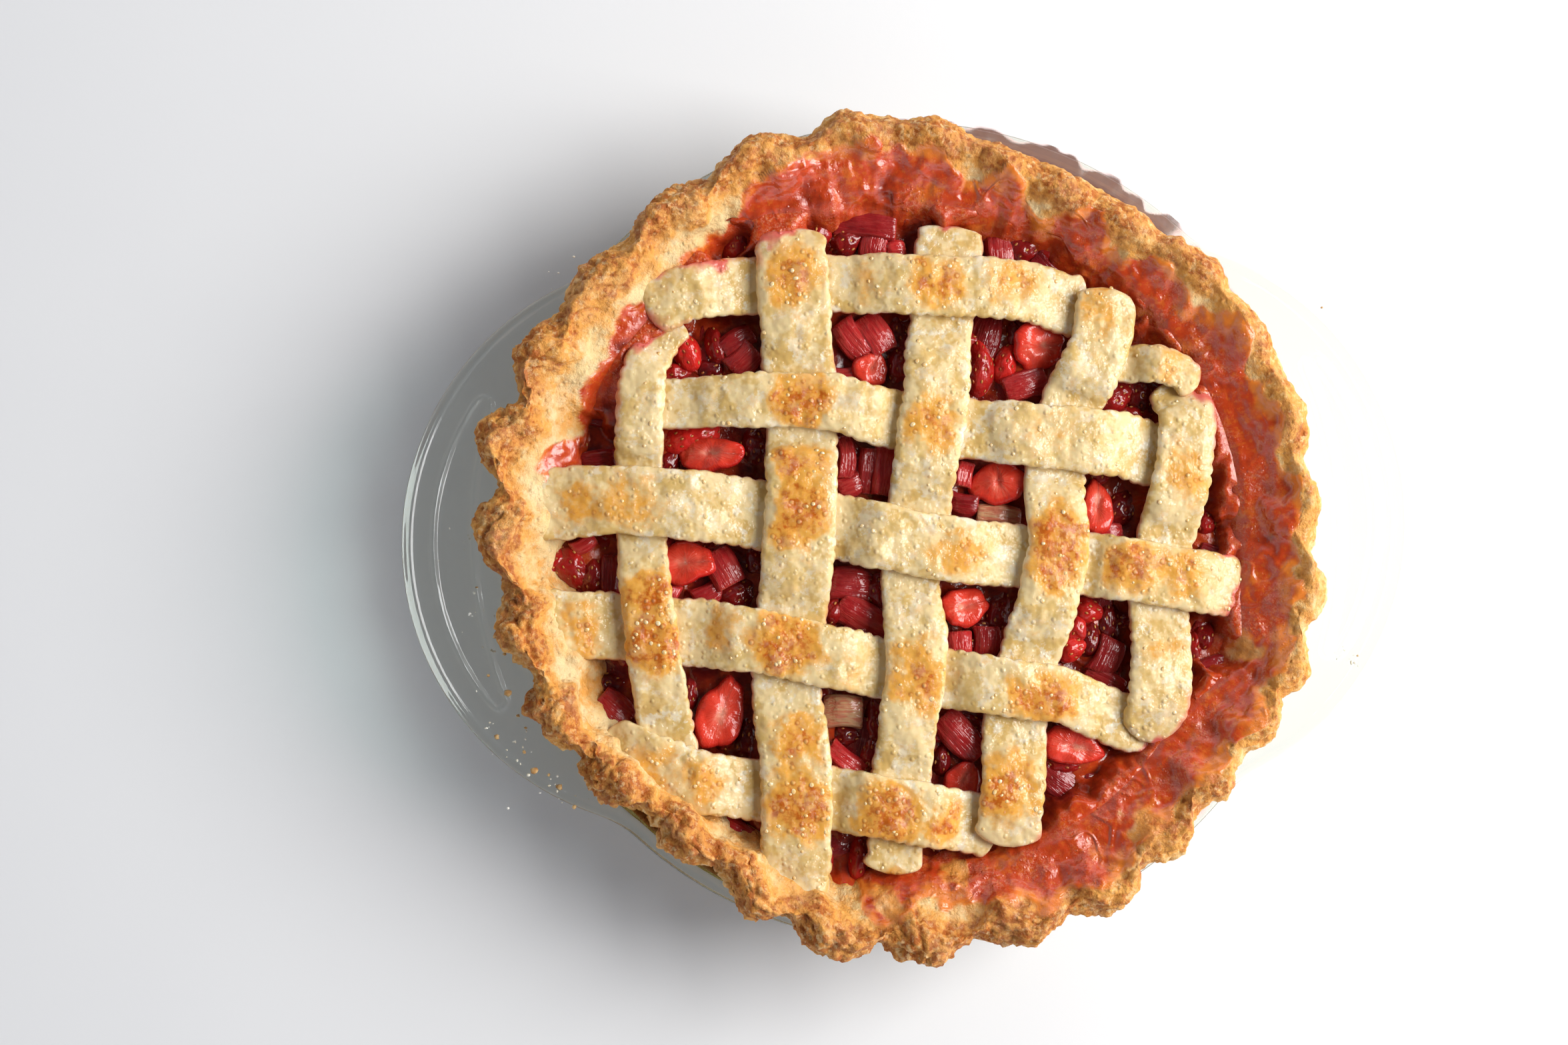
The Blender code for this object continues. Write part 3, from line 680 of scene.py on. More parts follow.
@dataclass(frozen=True)
class DoughFinish(Finish):
    """Pale dough under egg wash, with browned patches and juice at its edges."""

    pale: Colour = (0.78, 0.6, 0.31)
    gold: Colour = (0.77, 0.37, 0.06)
    brown: Colour = (0.5, 0.11, 0.006)
    damp: Colour = (0.64, 0.415, 0.125)
    floury: Colour = (0.8, 0.73, 0.58)
    juice: Colour = (0.68, 0.13, 0.1)

    def dress(self, net: Net, shader: Node) -> None:
        """Feeds the shader: baked dough, damp and floury patches, sugar, juice and egg wash."""
        tones = {"Pale": self.pale, "Gold": self.gold, "Brown": self.brown}
        baked = net.placed(self.effects.baked, Browned=net.mask("browned"), **tones)
        damp = net.ranged(net.noise(0.0075, 3.0, 0.65), 0.46, 0.58, 0.0, 0.9)
        floury = net.ranged(net.noise(0.006, 4.0, 0.7), 0.52, 0.62, 0.0, 0.75)
        unbaked = net.ranged(baked["Heat"], 0.05, 0.45, 1.0, 0.15)
        colour = net.blend(net.times(damp, unbaked), baked["Colour"], self.damp)
        colour = net.blend(net.times(floury, unbaked), colour, self.floury)
        beads = net.placed(self.effects.pimples, Scale=500.0, Share=0.3)
        caught = net.ranged(baked["Heat"], 0.25, 0.85)
        colour = net.blend(net.times(beads["Height"], 0.25), colour, self.pale)
        colour = net.blend(net.times(beads["Ring"], net.times(caught, 0.6)), colour, self.brown)
        stained = net.mask("stained")
        colour = net.blend(stained, colour, self.juice)
        washed = net.ranged(net.noise(0.0055, 3.0, 0.6), 0.36, 0.56, 0.15, 1.0)
        washed = net.times(washed, net.ranged(baked["Heat"], 0.4, 1.0, 1.0, 0.6))
        roughness = net.ranged(washed, 0.1, 1.0, 0.6, 0.4)
        coat = net.math("MAXIMUM", washed, stained)
        net.feed(shader, {"Base Color": colour, "Coat Weight": coat, "Roughness": roughness})
        soft = net.times(beads["Height"], 0.35, net.noise(0.0034, 1.0))
        net.bump(shader, soft, 0.00075, "Normal")
        net.bump(shader, net.times(net.noise(0.0013, 2.0, 0.6), 0.7, soft), 0.00085, "Coat Normal")


@dataclass(frozen=True)
class CrustFinish(Finish):
    """The case: shortcrust, gold on its crest and brown on its flakes, with syrup boiled up it."""

    pale: Colour = (0.78, 0.56, 0.26)
    gold: Colour = (0.75, 0.345, 0.07)
    brown: Colour = (0.42, 0.108, 0.01)
    crumb: Colour = (0.86, 0.61, 0.3)
    torn: Colour = (0.44, 0.132, 0.016)
    raw: Colour = (0.82, 0.62, 0.33)

    def dress(self, net: Net, shader: Node) -> None:
        """Feeds the shader: baked crust with light and dark flecks, egg wash, and the syrup's film."""
        film, rough = net.mask("film"), net.mask("crumbly")
        tones = {"Pale": self.pale, "Gold": self.gold, "Brown": self.brown}
        baked = net.placed(self.effects.baked, Browned=net.mask("browned"), **tones)
        flecks = net.noise(0.0024, 4.0, 0.7)
        light = net.times(net.ranged(flecks, 0.52, 0.64, 0.0, 0.65), rough)
        colour = net.blend(light, baked["Colour"], self.crumb)
        colour = net.blend(net.times(net.ranged(flecks, 0.36, 0.46, 0.6, 0.0), rough), colour, self.torn)
        unbaked = net.ranged(net.noise(0.01, 4.0, 0.65), 0.48, 0.6, 0.0, 0.75)
        unbaked = net.times(unbaked, net.ranged(baked["Heat"], 0.25, 0.75, 1.0, 0.1))
        colour = net.blend(unbaked, colour, self.raw)
        syrup = net.placed(self.effects.syrup, Depth=net.mask("depth"))
        glazed = net.ranged(net.noise(0.006, 3.0, 0.6), 0.38, 0.62, 0.1, 0.85)
        glazed = net.times(glazed, net.math("SUBTRACT", 1.0, rough))
        net.feed(shader, {
            "Base Color": net.blend(film, colour, syrup["Colour"]),
            "Coat Weight": net.math("MAXIMUM", glazed, film),
            "Roughness": net.ranged(film, 0.0, 1.0, self.roughness, 0.22),
        })
        beads = net.placed(self.effects.pimples, Scale=520.0, Share=0.5)
        height = net.times(beads["Height"], 0.45, net.noise(0.0014, 4.0, 0.7))
        height = net.times(net.noise(0.0045, 3.0, 0.6), 0.8, height)
        net.bump(shader, net.blend(film, height, syrup["Height"]), 0.00075)


@dataclass(frozen=True)
class SyrupFinish(Finish):
    """The wet red syrup of the filling."""

    def dress(self, net: Net, shader: Node) -> None:
        """Feeds the shader."""
        syrup = net.placed(self.effects.syrup, Depth=net.mask("depth"), Foam=net.mask("foam"))
        roughness = net.ranged(syrup["Height"], 0.3, 1.3, 0.12, 0.26)
        net.feed(shader, {"Base Color": syrup["Colour"], "Coat Weight": 1.0, "Roughness": roughness})
        net.bump(shader, syrup["Height"], 0.0006)


@dataclass(frozen=True)
class BerryFinish(Finish):
    """Cooked strawberry: dark skin with dents, and streaked flesh that is pale at its heart."""

    dark: Colour = (0.11, 0.003, 0.004)
    red: Colour = (0.62, 0.02, 0.015)
    flesh: Colour = (0.76, 0.052, 0.026)
    heart: Colour = (0.86, 0.4, 0.27)

    def dress(self, net: Net, shader: Node) -> None:
        """Feeds the shader: skin, and on a cut face the heart, its rays and a rim of skin."""
        tone, core = net.mask("tone"), net.mask("core")
        streaks = net.scaled(net.mask("grain", "Vector"), (1.0, 0.16, 0.16))
        streaks = net.ranged(net.noise(0.00085, 2.0, 0.6, streaks), 0.36, 0.62)
        patch = net.times(net.noise(0.005), 0.7, -0.35)
        skin = net.blend(net.math("ADD", tone, patch), self.dark, self.red)
        middle = net.times(net.ranged(core, 0.05, 0.5, 0.85, 0.0), net.ranged(patch, -0.1, 0.1))
        rays = net.times(net.ranged(core, 0.3, 0.8, 0.2, 0.0), streaks)
        cut = net.blend(net.times(net.math("MAXIMUM", middle, rays), tone), self.flesh, self.heart)
        cut = net.blend(net.ranged(tone, 0.0, 0.8, 0.8, 0.0), cut, self.dark)
        cut = net.blend(net.ranged(core, 0.7, 1.0, 0.0, 0.7), cut, skin)
        colour, roughness = net.blend(net.mask("cut"), skin, cut), net.ranged(streaks, 0.0, 1.0, 0.42, 0.28)
        net.feed(shader, {"Base Color": colour, "Coat Weight": 1.0, "Roughness": roughness})
        net.bump(shader, net.times(streaks, 0.15, net.noise(0.002)), 0.00032)


@dataclass(frozen=True)
class RhubarbFinish(Finish):
    """Cooked rhubarb: strings along the stalk, and pale cut ends with rows of fibres."""

    dark: Colour = (0.145, 0.004, 0.006)
    rose: Colour = (0.54, 0.022, 0.024)
    string: Colour = (0.74, 0.13, 0.1)
    end: Colour = (0.7, 0.2, 0.13)
    beige: Colour = (0.62, 0.36, 0.19)

    def dress(self, net: Net, shader: Node) -> None:
        """Feeds the shader: stringy skin, dotted ends, and bleached slices where the tone is high."""
        tone, grain = net.mask("tone"), net.mask("grain", "Vector")
        strings = net.ranged(net.noise(0.0008, 2.0, 0.6, net.scaled(grain, (0.09, 1.0, 1.0))), 0.38, 0.66)
        patch = net.times(net.noise(0.006), 0.6, -0.3)
        skin = net.blend(net.math("ADD", tone, patch), self.dark, self.rose)
        pale = net.times(strings, net.ranged(tone, 0.1, 0.9, 0.05, 0.3))
        skin = net.blend(pale, skin, self.string)
        dots = net.ranged(net.noise(0.0007, 1.0, places=grain), 0.4, 0.62)
        ends = net.blend(net.times(dots, tone), self.rose, self.end)
        ends = net.blend(net.ranged(tone, 0.0, 0.7, 0.8, 0.0), ends, self.dark)
        colour = net.blend(net.mask("end"), skin, ends)
        bleached = net.times(net.ranged(tone, 1.0, 1.6), net.ranged(strings, 0.0, 1.0, 0.5, 1.0))
        colour, roughness = net.blend(bleached, colour, self.beige), net.ranged(strings, 0.0, 1.0, 0.44, 0.3)
        net.feed(shader, {"Base Color": colour, "Coat Weight": 1.0, "Roughness": roughness})
        net.bump(shader, net.times(strings, 0.3, net.noise(0.0024)), 0.00034)


@dataclass(frozen=True)
class SpeckFinish(Finish):
    """Seeds, sugar grains and crumbs: one colour that wanders to another from grain to grain."""

    light: Colour = (0.8, 0.7, 0.5)
    dark: Colour = (0.5, 0.3, 0.1)
    coat: float = 0.0

    def dress(self, net: Net, shader: Node) -> None:
        """Feeds the shader."""
        colour = net.blend(net.ranged(net.noise(0.0019), 0.35, 0.65), self.light, self.dark)
        net.feed(shader, {"Base Color": colour, "Coat Weight": self.coat})
        net.bump(shader, net.noise(0.0007), 0.00015)


@dataclass(frozen=True)
class StainFinish(Finish):
    """A dried film of juice on the glass, which thins out to nothing."""

    thin: Colour = (0.8, 0.38, 0.36)
    thick: Colour = (0.17, 0.07, 0.048)

    def dress(self, net: Net, shader: Node) -> None:
        """Feeds the shader."""
        amount = net.mask("amount")
        patch = net.times(net.noise(0.005, 3.0, 0.6), 1.2, -0.6)
        amount = net.math("ADD", amount, net.times(patch, amount))
        colour = net.blend(net.ranged(amount, 0.35, 0.75), self.thin, self.thick)
        net.feed(shader, {"Alpha": net.ranged(amount, 0.0, 1.0, 0.0, 0.92), "Base Color": colour})
        net.bump(shader, net.noise(0.003), 0.00012)


@dataclass(frozen=True)
class FloorFinish(Finish):
    """A matt white surface with the faintest mottling."""

    def dress(self, net: Net, shader: Node) -> None:
        """Feeds the shader."""
        colour = net.blend(net.noise(0.05, 3.0), (0.84, 0.84, 0.85), (0.86, 0.86, 0.865))
        net.feed(shader, {"Base Color": colour})
        net.bump(shader, net.noise(0.002), 0.00002)


# ---- Glass dish ----


@dataclass
class Dish:
    """The glass dish: foot, wall, flange, two ears and the raised loop on each ear."""

    ear_half_angle: float = 27.0
    ear_turn: float = 0.33
    plain_turn: float = 1.0
    bead: float = 0.0009
    lip_width: float = 0.0015
    lip_drop: float = 0.0025
    foot_round: float = 0.0022
    flange_step: float = 0.0007
    plain_step: float = 0.006
    loop_height: float = 0.0012
    loop_width: float = 0.002
    loop_margin: float = 0.0093
    loop_inner_radius: float = 0.1315
    loop_half_length: float = 0.044

    def edge(self, angle: Array) -> Array:
        """Radius of the flange's edge: a circle with a rounder ear at each side."""
        along, across = np.abs(np.cos(angle)), np.sin(angle)
        inside = SHAPE.ear_radius**2 - (SHAPE.ear_centre * across) ** 2
        ear = np.where(inside > 0, SHAPE.ear_centre * along + np.sqrt(np.maximum(inside, 0)), 0)
        high, low = np.maximum(ear, SHAPE.dish_radius), np.minimum(ear, SHAPE.dish_radius)
        near = np.maximum(0, SHAPE.ear_blend - (high - low)) / SHAPE.ear_blend
        return high + near * near * SHAPE.ear_blend / 4

    def angles(self) -> Array:
        """Angles round the dish, closer together over the ears, where the loops are."""
        ear = np.arange(-self.ear_half_angle, self.ear_half_angle, self.ear_turn)
        side = np.arange(self.ear_half_angle, 180 - self.ear_half_angle, self.plain_turn)
        return np.radians(np.concatenate([ear, side, ear + 180, side + 180]))

    def sections(self, angles: Array) -> Array:
        """The wall's outline at each angle, from the middle of the floor out to the middle below."""
        edge = self.edge(angles)
        foot, well, top = SHAPE.foot_radius, SHAPE.well_radius, SHAPE.dish_height
        glass, under = SHAPE.glass, SHAPE.dish_height - SHAPE.glass
        inner = (
            (0.0, glass), (foot - 0.008, glass), (foot - 0.001, glass + self.foot_round),
            (well - self.lip_width, top - self.lip_drop), (well + self.lip_width, top),
        )
        rim = (
            (edge - 0.0042, top), (edge - 0.0026, top + self.bead), (edge - 0.0008, top + self.bead),
            (edge, top - 0.001), (edge, under + 0.0012), (edge - 0.0008, under),
        )
        outer = (
            (well + glass, under), (well + glass - self.lip_drop, under - self.lip_drop),
            (foot + glass, self.foot_round), (foot, 0.0), (foot - 0.006, 0.0), (0.0, 0.0),
        )
        rows = [joined(radius, height + 0 * edge) for radius, height in (*inner, *rim, *outer)]
        keys = rounded(np.stack(rows, axis=1), 2)
        start = int(np.argmax(keys[0, :, 0] > well + self.lip_width / 2))
        stop = int(np.argmax(keys[:, :, 0].max(axis=0)))
        inside = refined(keys[:, :start + 1], self.plain_step)
        flange = refined(keys[:, start:stop + 1], self.flange_step)
        outside = refined(keys[:, stop:], self.plain_step)
        return np.concatenate([inside[:, :-1], flange[:, :-1], outside], axis=1)

    def loop_line(self) -> Array:
        """Plan points of the right ear's loop, closed: two arcs with rounded ends."""
        outer_radius = SHAPE.ear_radius - self.loop_margin
        swing = np.linspace(1, -1, 60)
        outer = math.asin(self.loop_half_length / outer_radius) * swing
        inner = -math.asin(self.loop_half_length / self.loop_inner_radius) * swing
        line = np.concatenate([
            joined(SHAPE.ear_centre + outer_radius * np.cos(outer), outer_radius * np.sin(outer)),
            self.loop_inner_radius * joined(np.cos(inner), np.sin(inner)),
        ])
        tip = np.array([[0.0, np.linalg.norm(line[59] - line[60]) / 2]])
        ends = (line[59] + line[60]) / 2 - tip, (line[0] + line[-1]) / 2 + tip
        closed = np.concatenate([line[:60], ends[0], line[60:], ends[1], line[:1]])
        return refined(rounded(closed[None], 2), 0.0008)[0]

    def build(self, finish: GlassFinish) -> bpy.types.Object:
        """Makes the dish in place of its solid.

        Args:
            finish: The glass.

        Returns:
            The piece.
        """
        angles = self.angles()
        points = turned(self.sections(angles), angles)
        line = self.loop_line()
        flat = (points[..., 2] > SHAPE.dish_height - 0.0004) & (np.abs(points[..., 0]) > 0.118)
        spots = np.abs(points[flat][:, :2] * [1, 0]) + points[flat][:, :2] * [0, 1]
        away = np.full(len(spots), 1.0)
        for spot in line:
            away = np.minimum(away, np.hypot(*(spots - spot).T))
        raised = points[flat]
        raised[:, 2] += self.loop_height * (1 - ease(0.2 * self.loop_width, 0.55 * self.loop_width, away))
        points[flat] = raised
        stock = Stock()
        stock.add(points, grid_faces(*points.shape[:2], True, False))
        piece = stock.piece("glass_dish", finish.material(), Slot.GLASS, merged=True)
        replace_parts(piece, "dish")
        return piece


# ---- Pastry case ----


@dataclass
class PastryCase:
    """The pastry case: floor, wall and the crimped rim, whose inner slope syrup has run up."""

    sides: int = 1040
    base_sides: int = 120
    rim_step: float = 0.00115
    base_step: float = 0.006
    into_glass: float = 0.00025
    twist: float = 0.9
    torn_side: float = 212.0
    shaded_side: float = 160.0
    # How far in from the slope's foot it looks for syrup.
    look_in: tuple = (0.003, 0.006, 0.009, 0.012, 0.015)
    film_reach: tuple = (
        (0, 0.1138), (15, 0.113), (29, 0.1138), (36, 0.1075), (44, 0.107), (51, 0.1035),
        (57, 0.11), (64, 0.102), (71, 0.108), (78, 0.106), (84, 0.112), (94, 0.1148),
        (104, 0.115), (112, 0.1145), (118, 0.108), (126, 0.106), (140, 0.1072), (150, 0.106),
        (160, 0.1065), (166, 0.114), (173, 0.104), (200, 0.099), (246, 0.099), (255, 0.104),
        (261, 0.117), (268, 0.1095), (275, 0.11), (281, 0.1135), (286, 0.118), (295, 0.117),
        (303, 0.1145), (309, 0.1125), (318, 0.113), (325, 0.1175), (333, 0.1158), (341, 0.116),
        (350, 0.114),
    )
    # How far the rim's edge has drawn in from the glass's edge at each angle.
    drawn_in: tuple = (
        (0, 0.0), (41, 0.0), (49, 0.0028), (60, 0.0034), (72, 0.0028), (82, 0.0), (120, 0.0),
        (128, 0.0018), (142, 0.0018), (152, 0.0), (214, 0.0), (222, 0.0024), (231, 0.004),
        (238, 0.003), (248, 0.0), (359, 0.0),
    )
    # How browned the rim is by degrees round the pie: real browning, plus painted shade that makes it darker on
    # the lower left, which faces away from the light, and paler on the lit right.
    toast_and_shade: tuple = (
        (0, 0.32), (40, 0.52), (60, 0.6), (110, 0.58), (165, 0.58), (225, 0.66), (275, 0.7), (320, 0.4),
    )
    # Dough that stands bare out of the syrup's film: x, y and reach in millimetres.
    bare: tuple = (
        (61, -91, 9), (82, -82, 7), (6, -103, 6), (-15, -110, 6), (98, -42, 6),
    )

    def torn(self, angles: Array) -> Array:
        """How roughly the rim is torn: most at the lower left, and least at the right."""
        return 0.5 + 0.5 * np.cos(angles - math.radians(self.torn_side))

    def lobe(self, angles: Array, shift: float) -> Array:
        """1 along a flute's round back and -1 in the crease between two flutes."""
        return 2 * np.abs(np.cos((SHAPE.flute_phase(angles) + shift) / 2)) ** 1.2 - 1

    def rim_sections(self, angles: Array, lapped: Array, banked: Array) -> Array:
        """The rim's outline at each angle, from inside the filling, over the crest, to the flange.

        Args:
            angles: The angles.
            lapped: Where syrup stands against the slope, 0 to 1, at each angle.
            banked: Where it also stands high all the way in front of the slope.

        Returns:
            Points as radius and height, in a row for each angle.
        """
        ring = joined(np.cos(angles), np.sin(angles), 0.0)
        half = SHAPE.rim_width / 2
        depth = SHAPE.flute_swing * (0.55 + 0.75 * self.torn(angles) + 0.5 * RELIEF.noise(ring + 7, 0.3))
        drawn = round_table(self.drawn_in, angles)
        reach = SHAPE.rim_reach(angles) + 0.0014 * RELIEF.noise(ring + 4, 0.09) - drawn
        seat = SHAPE.well_radius + self.into_glass * 4 - drawn
        inner = reach - half - depth * (1 - self.lobe(angles, -self.twist))
        ridge = reach - half - depth * (1 - self.lobe(angles, 0.0))
        outside = np.maximum(reach - depth * (1 - self.lobe(angles, self.twist)), seat + 0.002)
        crest = (SHAPE.case_rim + SHAPE.rim_height - 0.003
                 + 0.0013 * self.lobe(angles, 0.4) + 0.0012 * RELIEF.noise(ring + 9, 0.13))
        foot = SHAPE.foot(angles)
        low = SHAPE.lattice_height(foot, 0 * foot) + 0.0004 + 0.0012 * lapped
        base, rest = SHAPE.case_rim, SHAPE.dish_height - self.into_glass
        keys = (
            (foot - 0.0085 - 0.0045 * banked, low - 0.0105 + 0.007 * banked), (foot - 0.002 * lapped, low),
            (foot + 0.45 * (inner - half - foot), low + 0.22 * (crest - low)),
            (inner - 0.95 * half, low + 0.66 * (crest - low)),
            (inner - 0.55 * half, crest - 0.0006), (ridge + 0.15 * half, crest + 0.0009),
            (outside - 0.4 * half, crest - 0.002), (outside + 0.0004, crest - 0.006),
            (outside + 0.0003, base + 0.0036), (outside - 0.25 * half, base - 0.0004),
            (np.maximum(outside - 1.2 * half, seat), rest),
        )
        rows = [joined(radius, height) for radius, height in keys]
        return refined(rounded(np.stack(rows, axis=1), 2), self.rim_step)

    def base_points(self) -> Array:
        """The wall and floor, set just into the glass so that no air shows behind it."""
        into, well, foot = self.into_glass, SHAPE.well_radius, SHAPE.foot_radius
        top, glass = SHAPE.dish_height, SHAPE.glass
        keys = np.array([[
            (well + 0.0022, top - into), (well + 0.0015 + 0.6 * into, top - into),
            (well - 0.0015 + into, top - 0.0025 - 0.2 * into),
            (foot - 0.001 + 0.7 * into, glass + 0.0022 - 0.7 * into),
            (foot - 0.008, glass - into), (0.0, glass - into),
        ]])
        section = refined(rounded(keys, 2), self.base_step)
        angles = all_round(self.base_sides)
        return turned(np.repeat(section, self.base_sides, axis=0), angles)

    def build(self, finish: CrustFinish, syrup: "Syrup") -> None:
        """Makes the rim, and the wall and floor, in place of the case's solid.

        Args:
            finish: The crust.
            syrup: The filling's syrup, which has run up the slope.
        """
        material = finish.material()
        angles = all_round(self.sides)
        foot = SHAPE.foot(angles)
        near = foot - np.array(self.look_in)[:, None]
        laps = syrup.share(near * np.cos(angles), near * np.sin(angles))
        lapped = laps[0]
        sections = self.rim_sections(angles, lapped, laps.min(axis=0))
        points = turned(sections, angles)
        normals = grid_normals(points, True, False)
        radius, height = sections[..., 0], sections[..., 1]
        column = np.arange(points.shape[1])[None, :]
        crest = np.argmax(height, axis=1)[:, None]
        inner = column < crest
        outer = ease(-0.001, 0.0035, radius - np.take_along_axis(radius, crest, axis=1))
        outer = np.where(inner, 0.0, outer)

        reach = round_table(self.film_reach, angles)[:, None]
        reach = reach + 0.0012 * self.lobe(angles, 0.0)[:, None]
        reach = reach + 0.0034 * RELIEF.layered(points + 3, 0.013)
        reach = reach + 0.0008 * RELIEF.noise(points + 16, 0.0035)
        film = np.where(inner, 1 - ease(reach - 0.0004, reach + 0.0004, radius), 0.0)
        thinned = np.zeros(radius.shape)
        for east, north, size in self.bare:
            away = np.hypot(points[..., 0] * 1000 - east, points[..., 1] * 1000 - north) / size
            away = away + 0.45 * RELIEF.layered(points + 15, 0.006)
            thinned = np.maximum(thinned, 1 - ease(0.2, 1.05, away))
        film = film * (1 - 0.7 * ease(0.35, 0.95, thinned))
        hollow = 0.14 * self.lobe(angles, 0.0)[:, None] - 0.16 * RELIEF.noise(points + 8, 0.014)
        shaded = 0.3 * ease(0.1, 0.9, np.cos(angles - math.radians(self.shaded_side)))[:, None]
        depth = 0.5 + shaded - 0.5 * ease(reach - 0.005, reach, radius) - hollow - 0.6 * thinned

        shaped = ease(0.0, 2.0, column) * ease(0.0, 3.0, points.shape[1] - 1 - column)
        risen = 1 - lapped[:, None] * (1 - ease(-0.002, 0.005, radius - foot[:, None]))
        rough = (0.45 + 0.6 * self.torn(angles))[:, None]
        lumps = 0.0013 * RELIEF.layered(points, 0.0085, 3) * risen * np.maximum(rough, film)
        crumbs = 0.00075 * RELIEF.layered(points + 1, 0.0022, 2) * (0.45 + 0.55 * outer) * (1 - 0.8 * film)
        crumbs = crumbs * rough
        lumps = lumps + 0.0005 * RELIEF.noise(points + 17, 0.004) * risen * (1 - 0.5 * film)
        flakes = 0.001 * np.abs(RELIEF.noise(points + 5, (0.0065, 0.0065, 0.0011))) * outer * rough
        high = ease(0.05, 0.0545, height) * (1 - film)
        creases = RELIEF.creases(points + 12, 0.0095) + 0.6 * RELIEF.creases(points + 14, 0.005)
        creases = creases * (0.3 + 0.9 * self.torn(angles)[:, None])
        cracks = 0.0012 * creases * np.maximum(high, outer)
        raised = shaped * (lumps + crumbs + flakes + 0.00035 * film - cracks)
        points = points + normals * raised[..., None]

        # The browning table carries painted shade on the lower left as well as real browning.
        browned = round_table(self.toast_and_shade, angles)[:, None] + 0.24 * ease(0.049, 0.056, height)
        browned = browned + 0.08 * outer - 0.24 * inner * (1 - high) + 0.28 * RELIEF.noise(points + 2, 0.012)
        browned = browned + 0.2 * thinned
        # Painted shade: the cracks are coloured browner, as the shade that lies in them.
        browned = browned + 0.25 * creases * np.maximum(high, outer)
        crumbly = np.clip(np.maximum(outer, 0.6 * high) + 0.3 * RELIEF.noise(points + 6, 0.008), 0.0, 1.0)
        rim = Stock()
        masks = {"browned": browned, "film": film, "depth": depth, "crumbly": crumbly}
        rim.add(points, grid_faces(*points.shape[:2], True, False), **masks)
        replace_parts(rim.piece("pastry_rim", material, Slot.PASTRY), "pastry_case")

        wall = self.base_points()
        base = Stock()
        masks = {"browned": 0.62, "film": 0.0, "depth": 0.0, "crumbly": 0.3}
        base.add(wall, grid_faces(*wall.shape[:2], True, False), **masks)
        piece = base.piece("pastry_base", material, Slot.PASTRY, merged=True)
        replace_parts(piece, "pastry_case")


# ---- Woven strips ----


@dataclass
class Strip:
    """One strip of dough: its line in plan, its width, and where it passes over and under.

    Each end is rounded over the length in tips, or pressed into the crust where that is 0.
    """

    name: str
    widths: Array
    sunk: Array
    tips: Array
    knots: Array
    pitch: float = 0.0056
    thickness: float = 0.0036
    edge_clear: float = 0.001
    free_ramp: float = 0.012
    crossings: list[tuple[int, int, float]] = field(default_factory=list)

    def __post_init__(self) -> None:
        """Lays out the line at the solid's stations."""
        self.spots, self.ahead = even_line(self.knots, self.pitch / 2)
        self.half = np.linspace(*self.widths, len(self.spots)) / 2

    def offsets(self, points: Array) -> tuple[Array, Array]:
        """How far each plan point is from each station, along the strip and across it."""
        away = points[:, None] - self.spots[None]
        along = np.abs((away * self.ahead).sum(axis=-1))
        return along, np.abs(away[..., 0] * self.ahead[:, 1] - away[..., 1] * self.ahead[:, 0])

    def covers(self, points: Array) -> Array:
        """Whether each plan point lies on the strip."""
        along, across = self.offsets(points)
        return ((along <= 0.3 * self.pitch) & (across <= self.half + self.edge_clear)).any(axis=1)

    def beyond(self, points: Array) -> Array:
        """How far each plan point lies outside the strip, and 0 on it."""
        along, across = self.offsets(points)
        past, beside = np.clip(along - self.pitch / 4, 0, None), np.clip(across - self.half, 0, None)
        return np.hypot(past, beside).min(axis=1)

    def cross(self, other: "Strip", level: float) -> None:
        """Notes the strip's level wherever it and the other one share a place."""
        left = joined(-self.ahead[:, 1], self.ahead[:, 0]) * self.half[:, None]
        shared = np.zeros(len(self.spots), bool)
        for side in (-1, 0, 1):
            shared |= other.covers(self.spots + side * left)
        held = np.flatnonzero(shared)
        if len(held):
            self.crossings.append((held[0] - 1, held[-1] + 1, level))
            self.crossings.sort()

    def fullness(self, run: Array) -> Array:
        """1 along the strip, and less where an end is rounded."""
        full = np.ones(len(run))
        for tip, way in zip(self.tips, (run, run[-1] - run)):
            if tip > 0:
                full = full * np.sqrt(1 - (1 - np.clip(way / tip, 0.03, 1.0)) ** 2.4)
        return full

    def lifts(self) -> Array:
        """How far the strip's middle is above the woven sheet's middle, at each station."""
        lift = np.zeros(len(self.spots))
        station = np.arange(len(self.spots))
        first, last = self.crossings[0], self.crossings[-1]
        ramp = self.free_ramp / (self.pitch / 2)
        lift = np.where(station < first[0], first[2] * (1 - ease(0, ramp, first[0] - station)), lift)
        lift = np.where(station > last[1], last[2] * (1 - ease(0, ramp, station - last[1])), lift)
        for (_, stop, level), (start, _, following) in zip(self.crossings, self.crossings[1:]):
            if start > stop:
                between = level + (following - level) * ease(stop, start, station)
                lift = np.where((station > stop) & (station < start), between, lift)
        for start, stop, level in self.crossings:
            lift = np.where((station >= start) & (station <= stop), level, lift)
        return lift


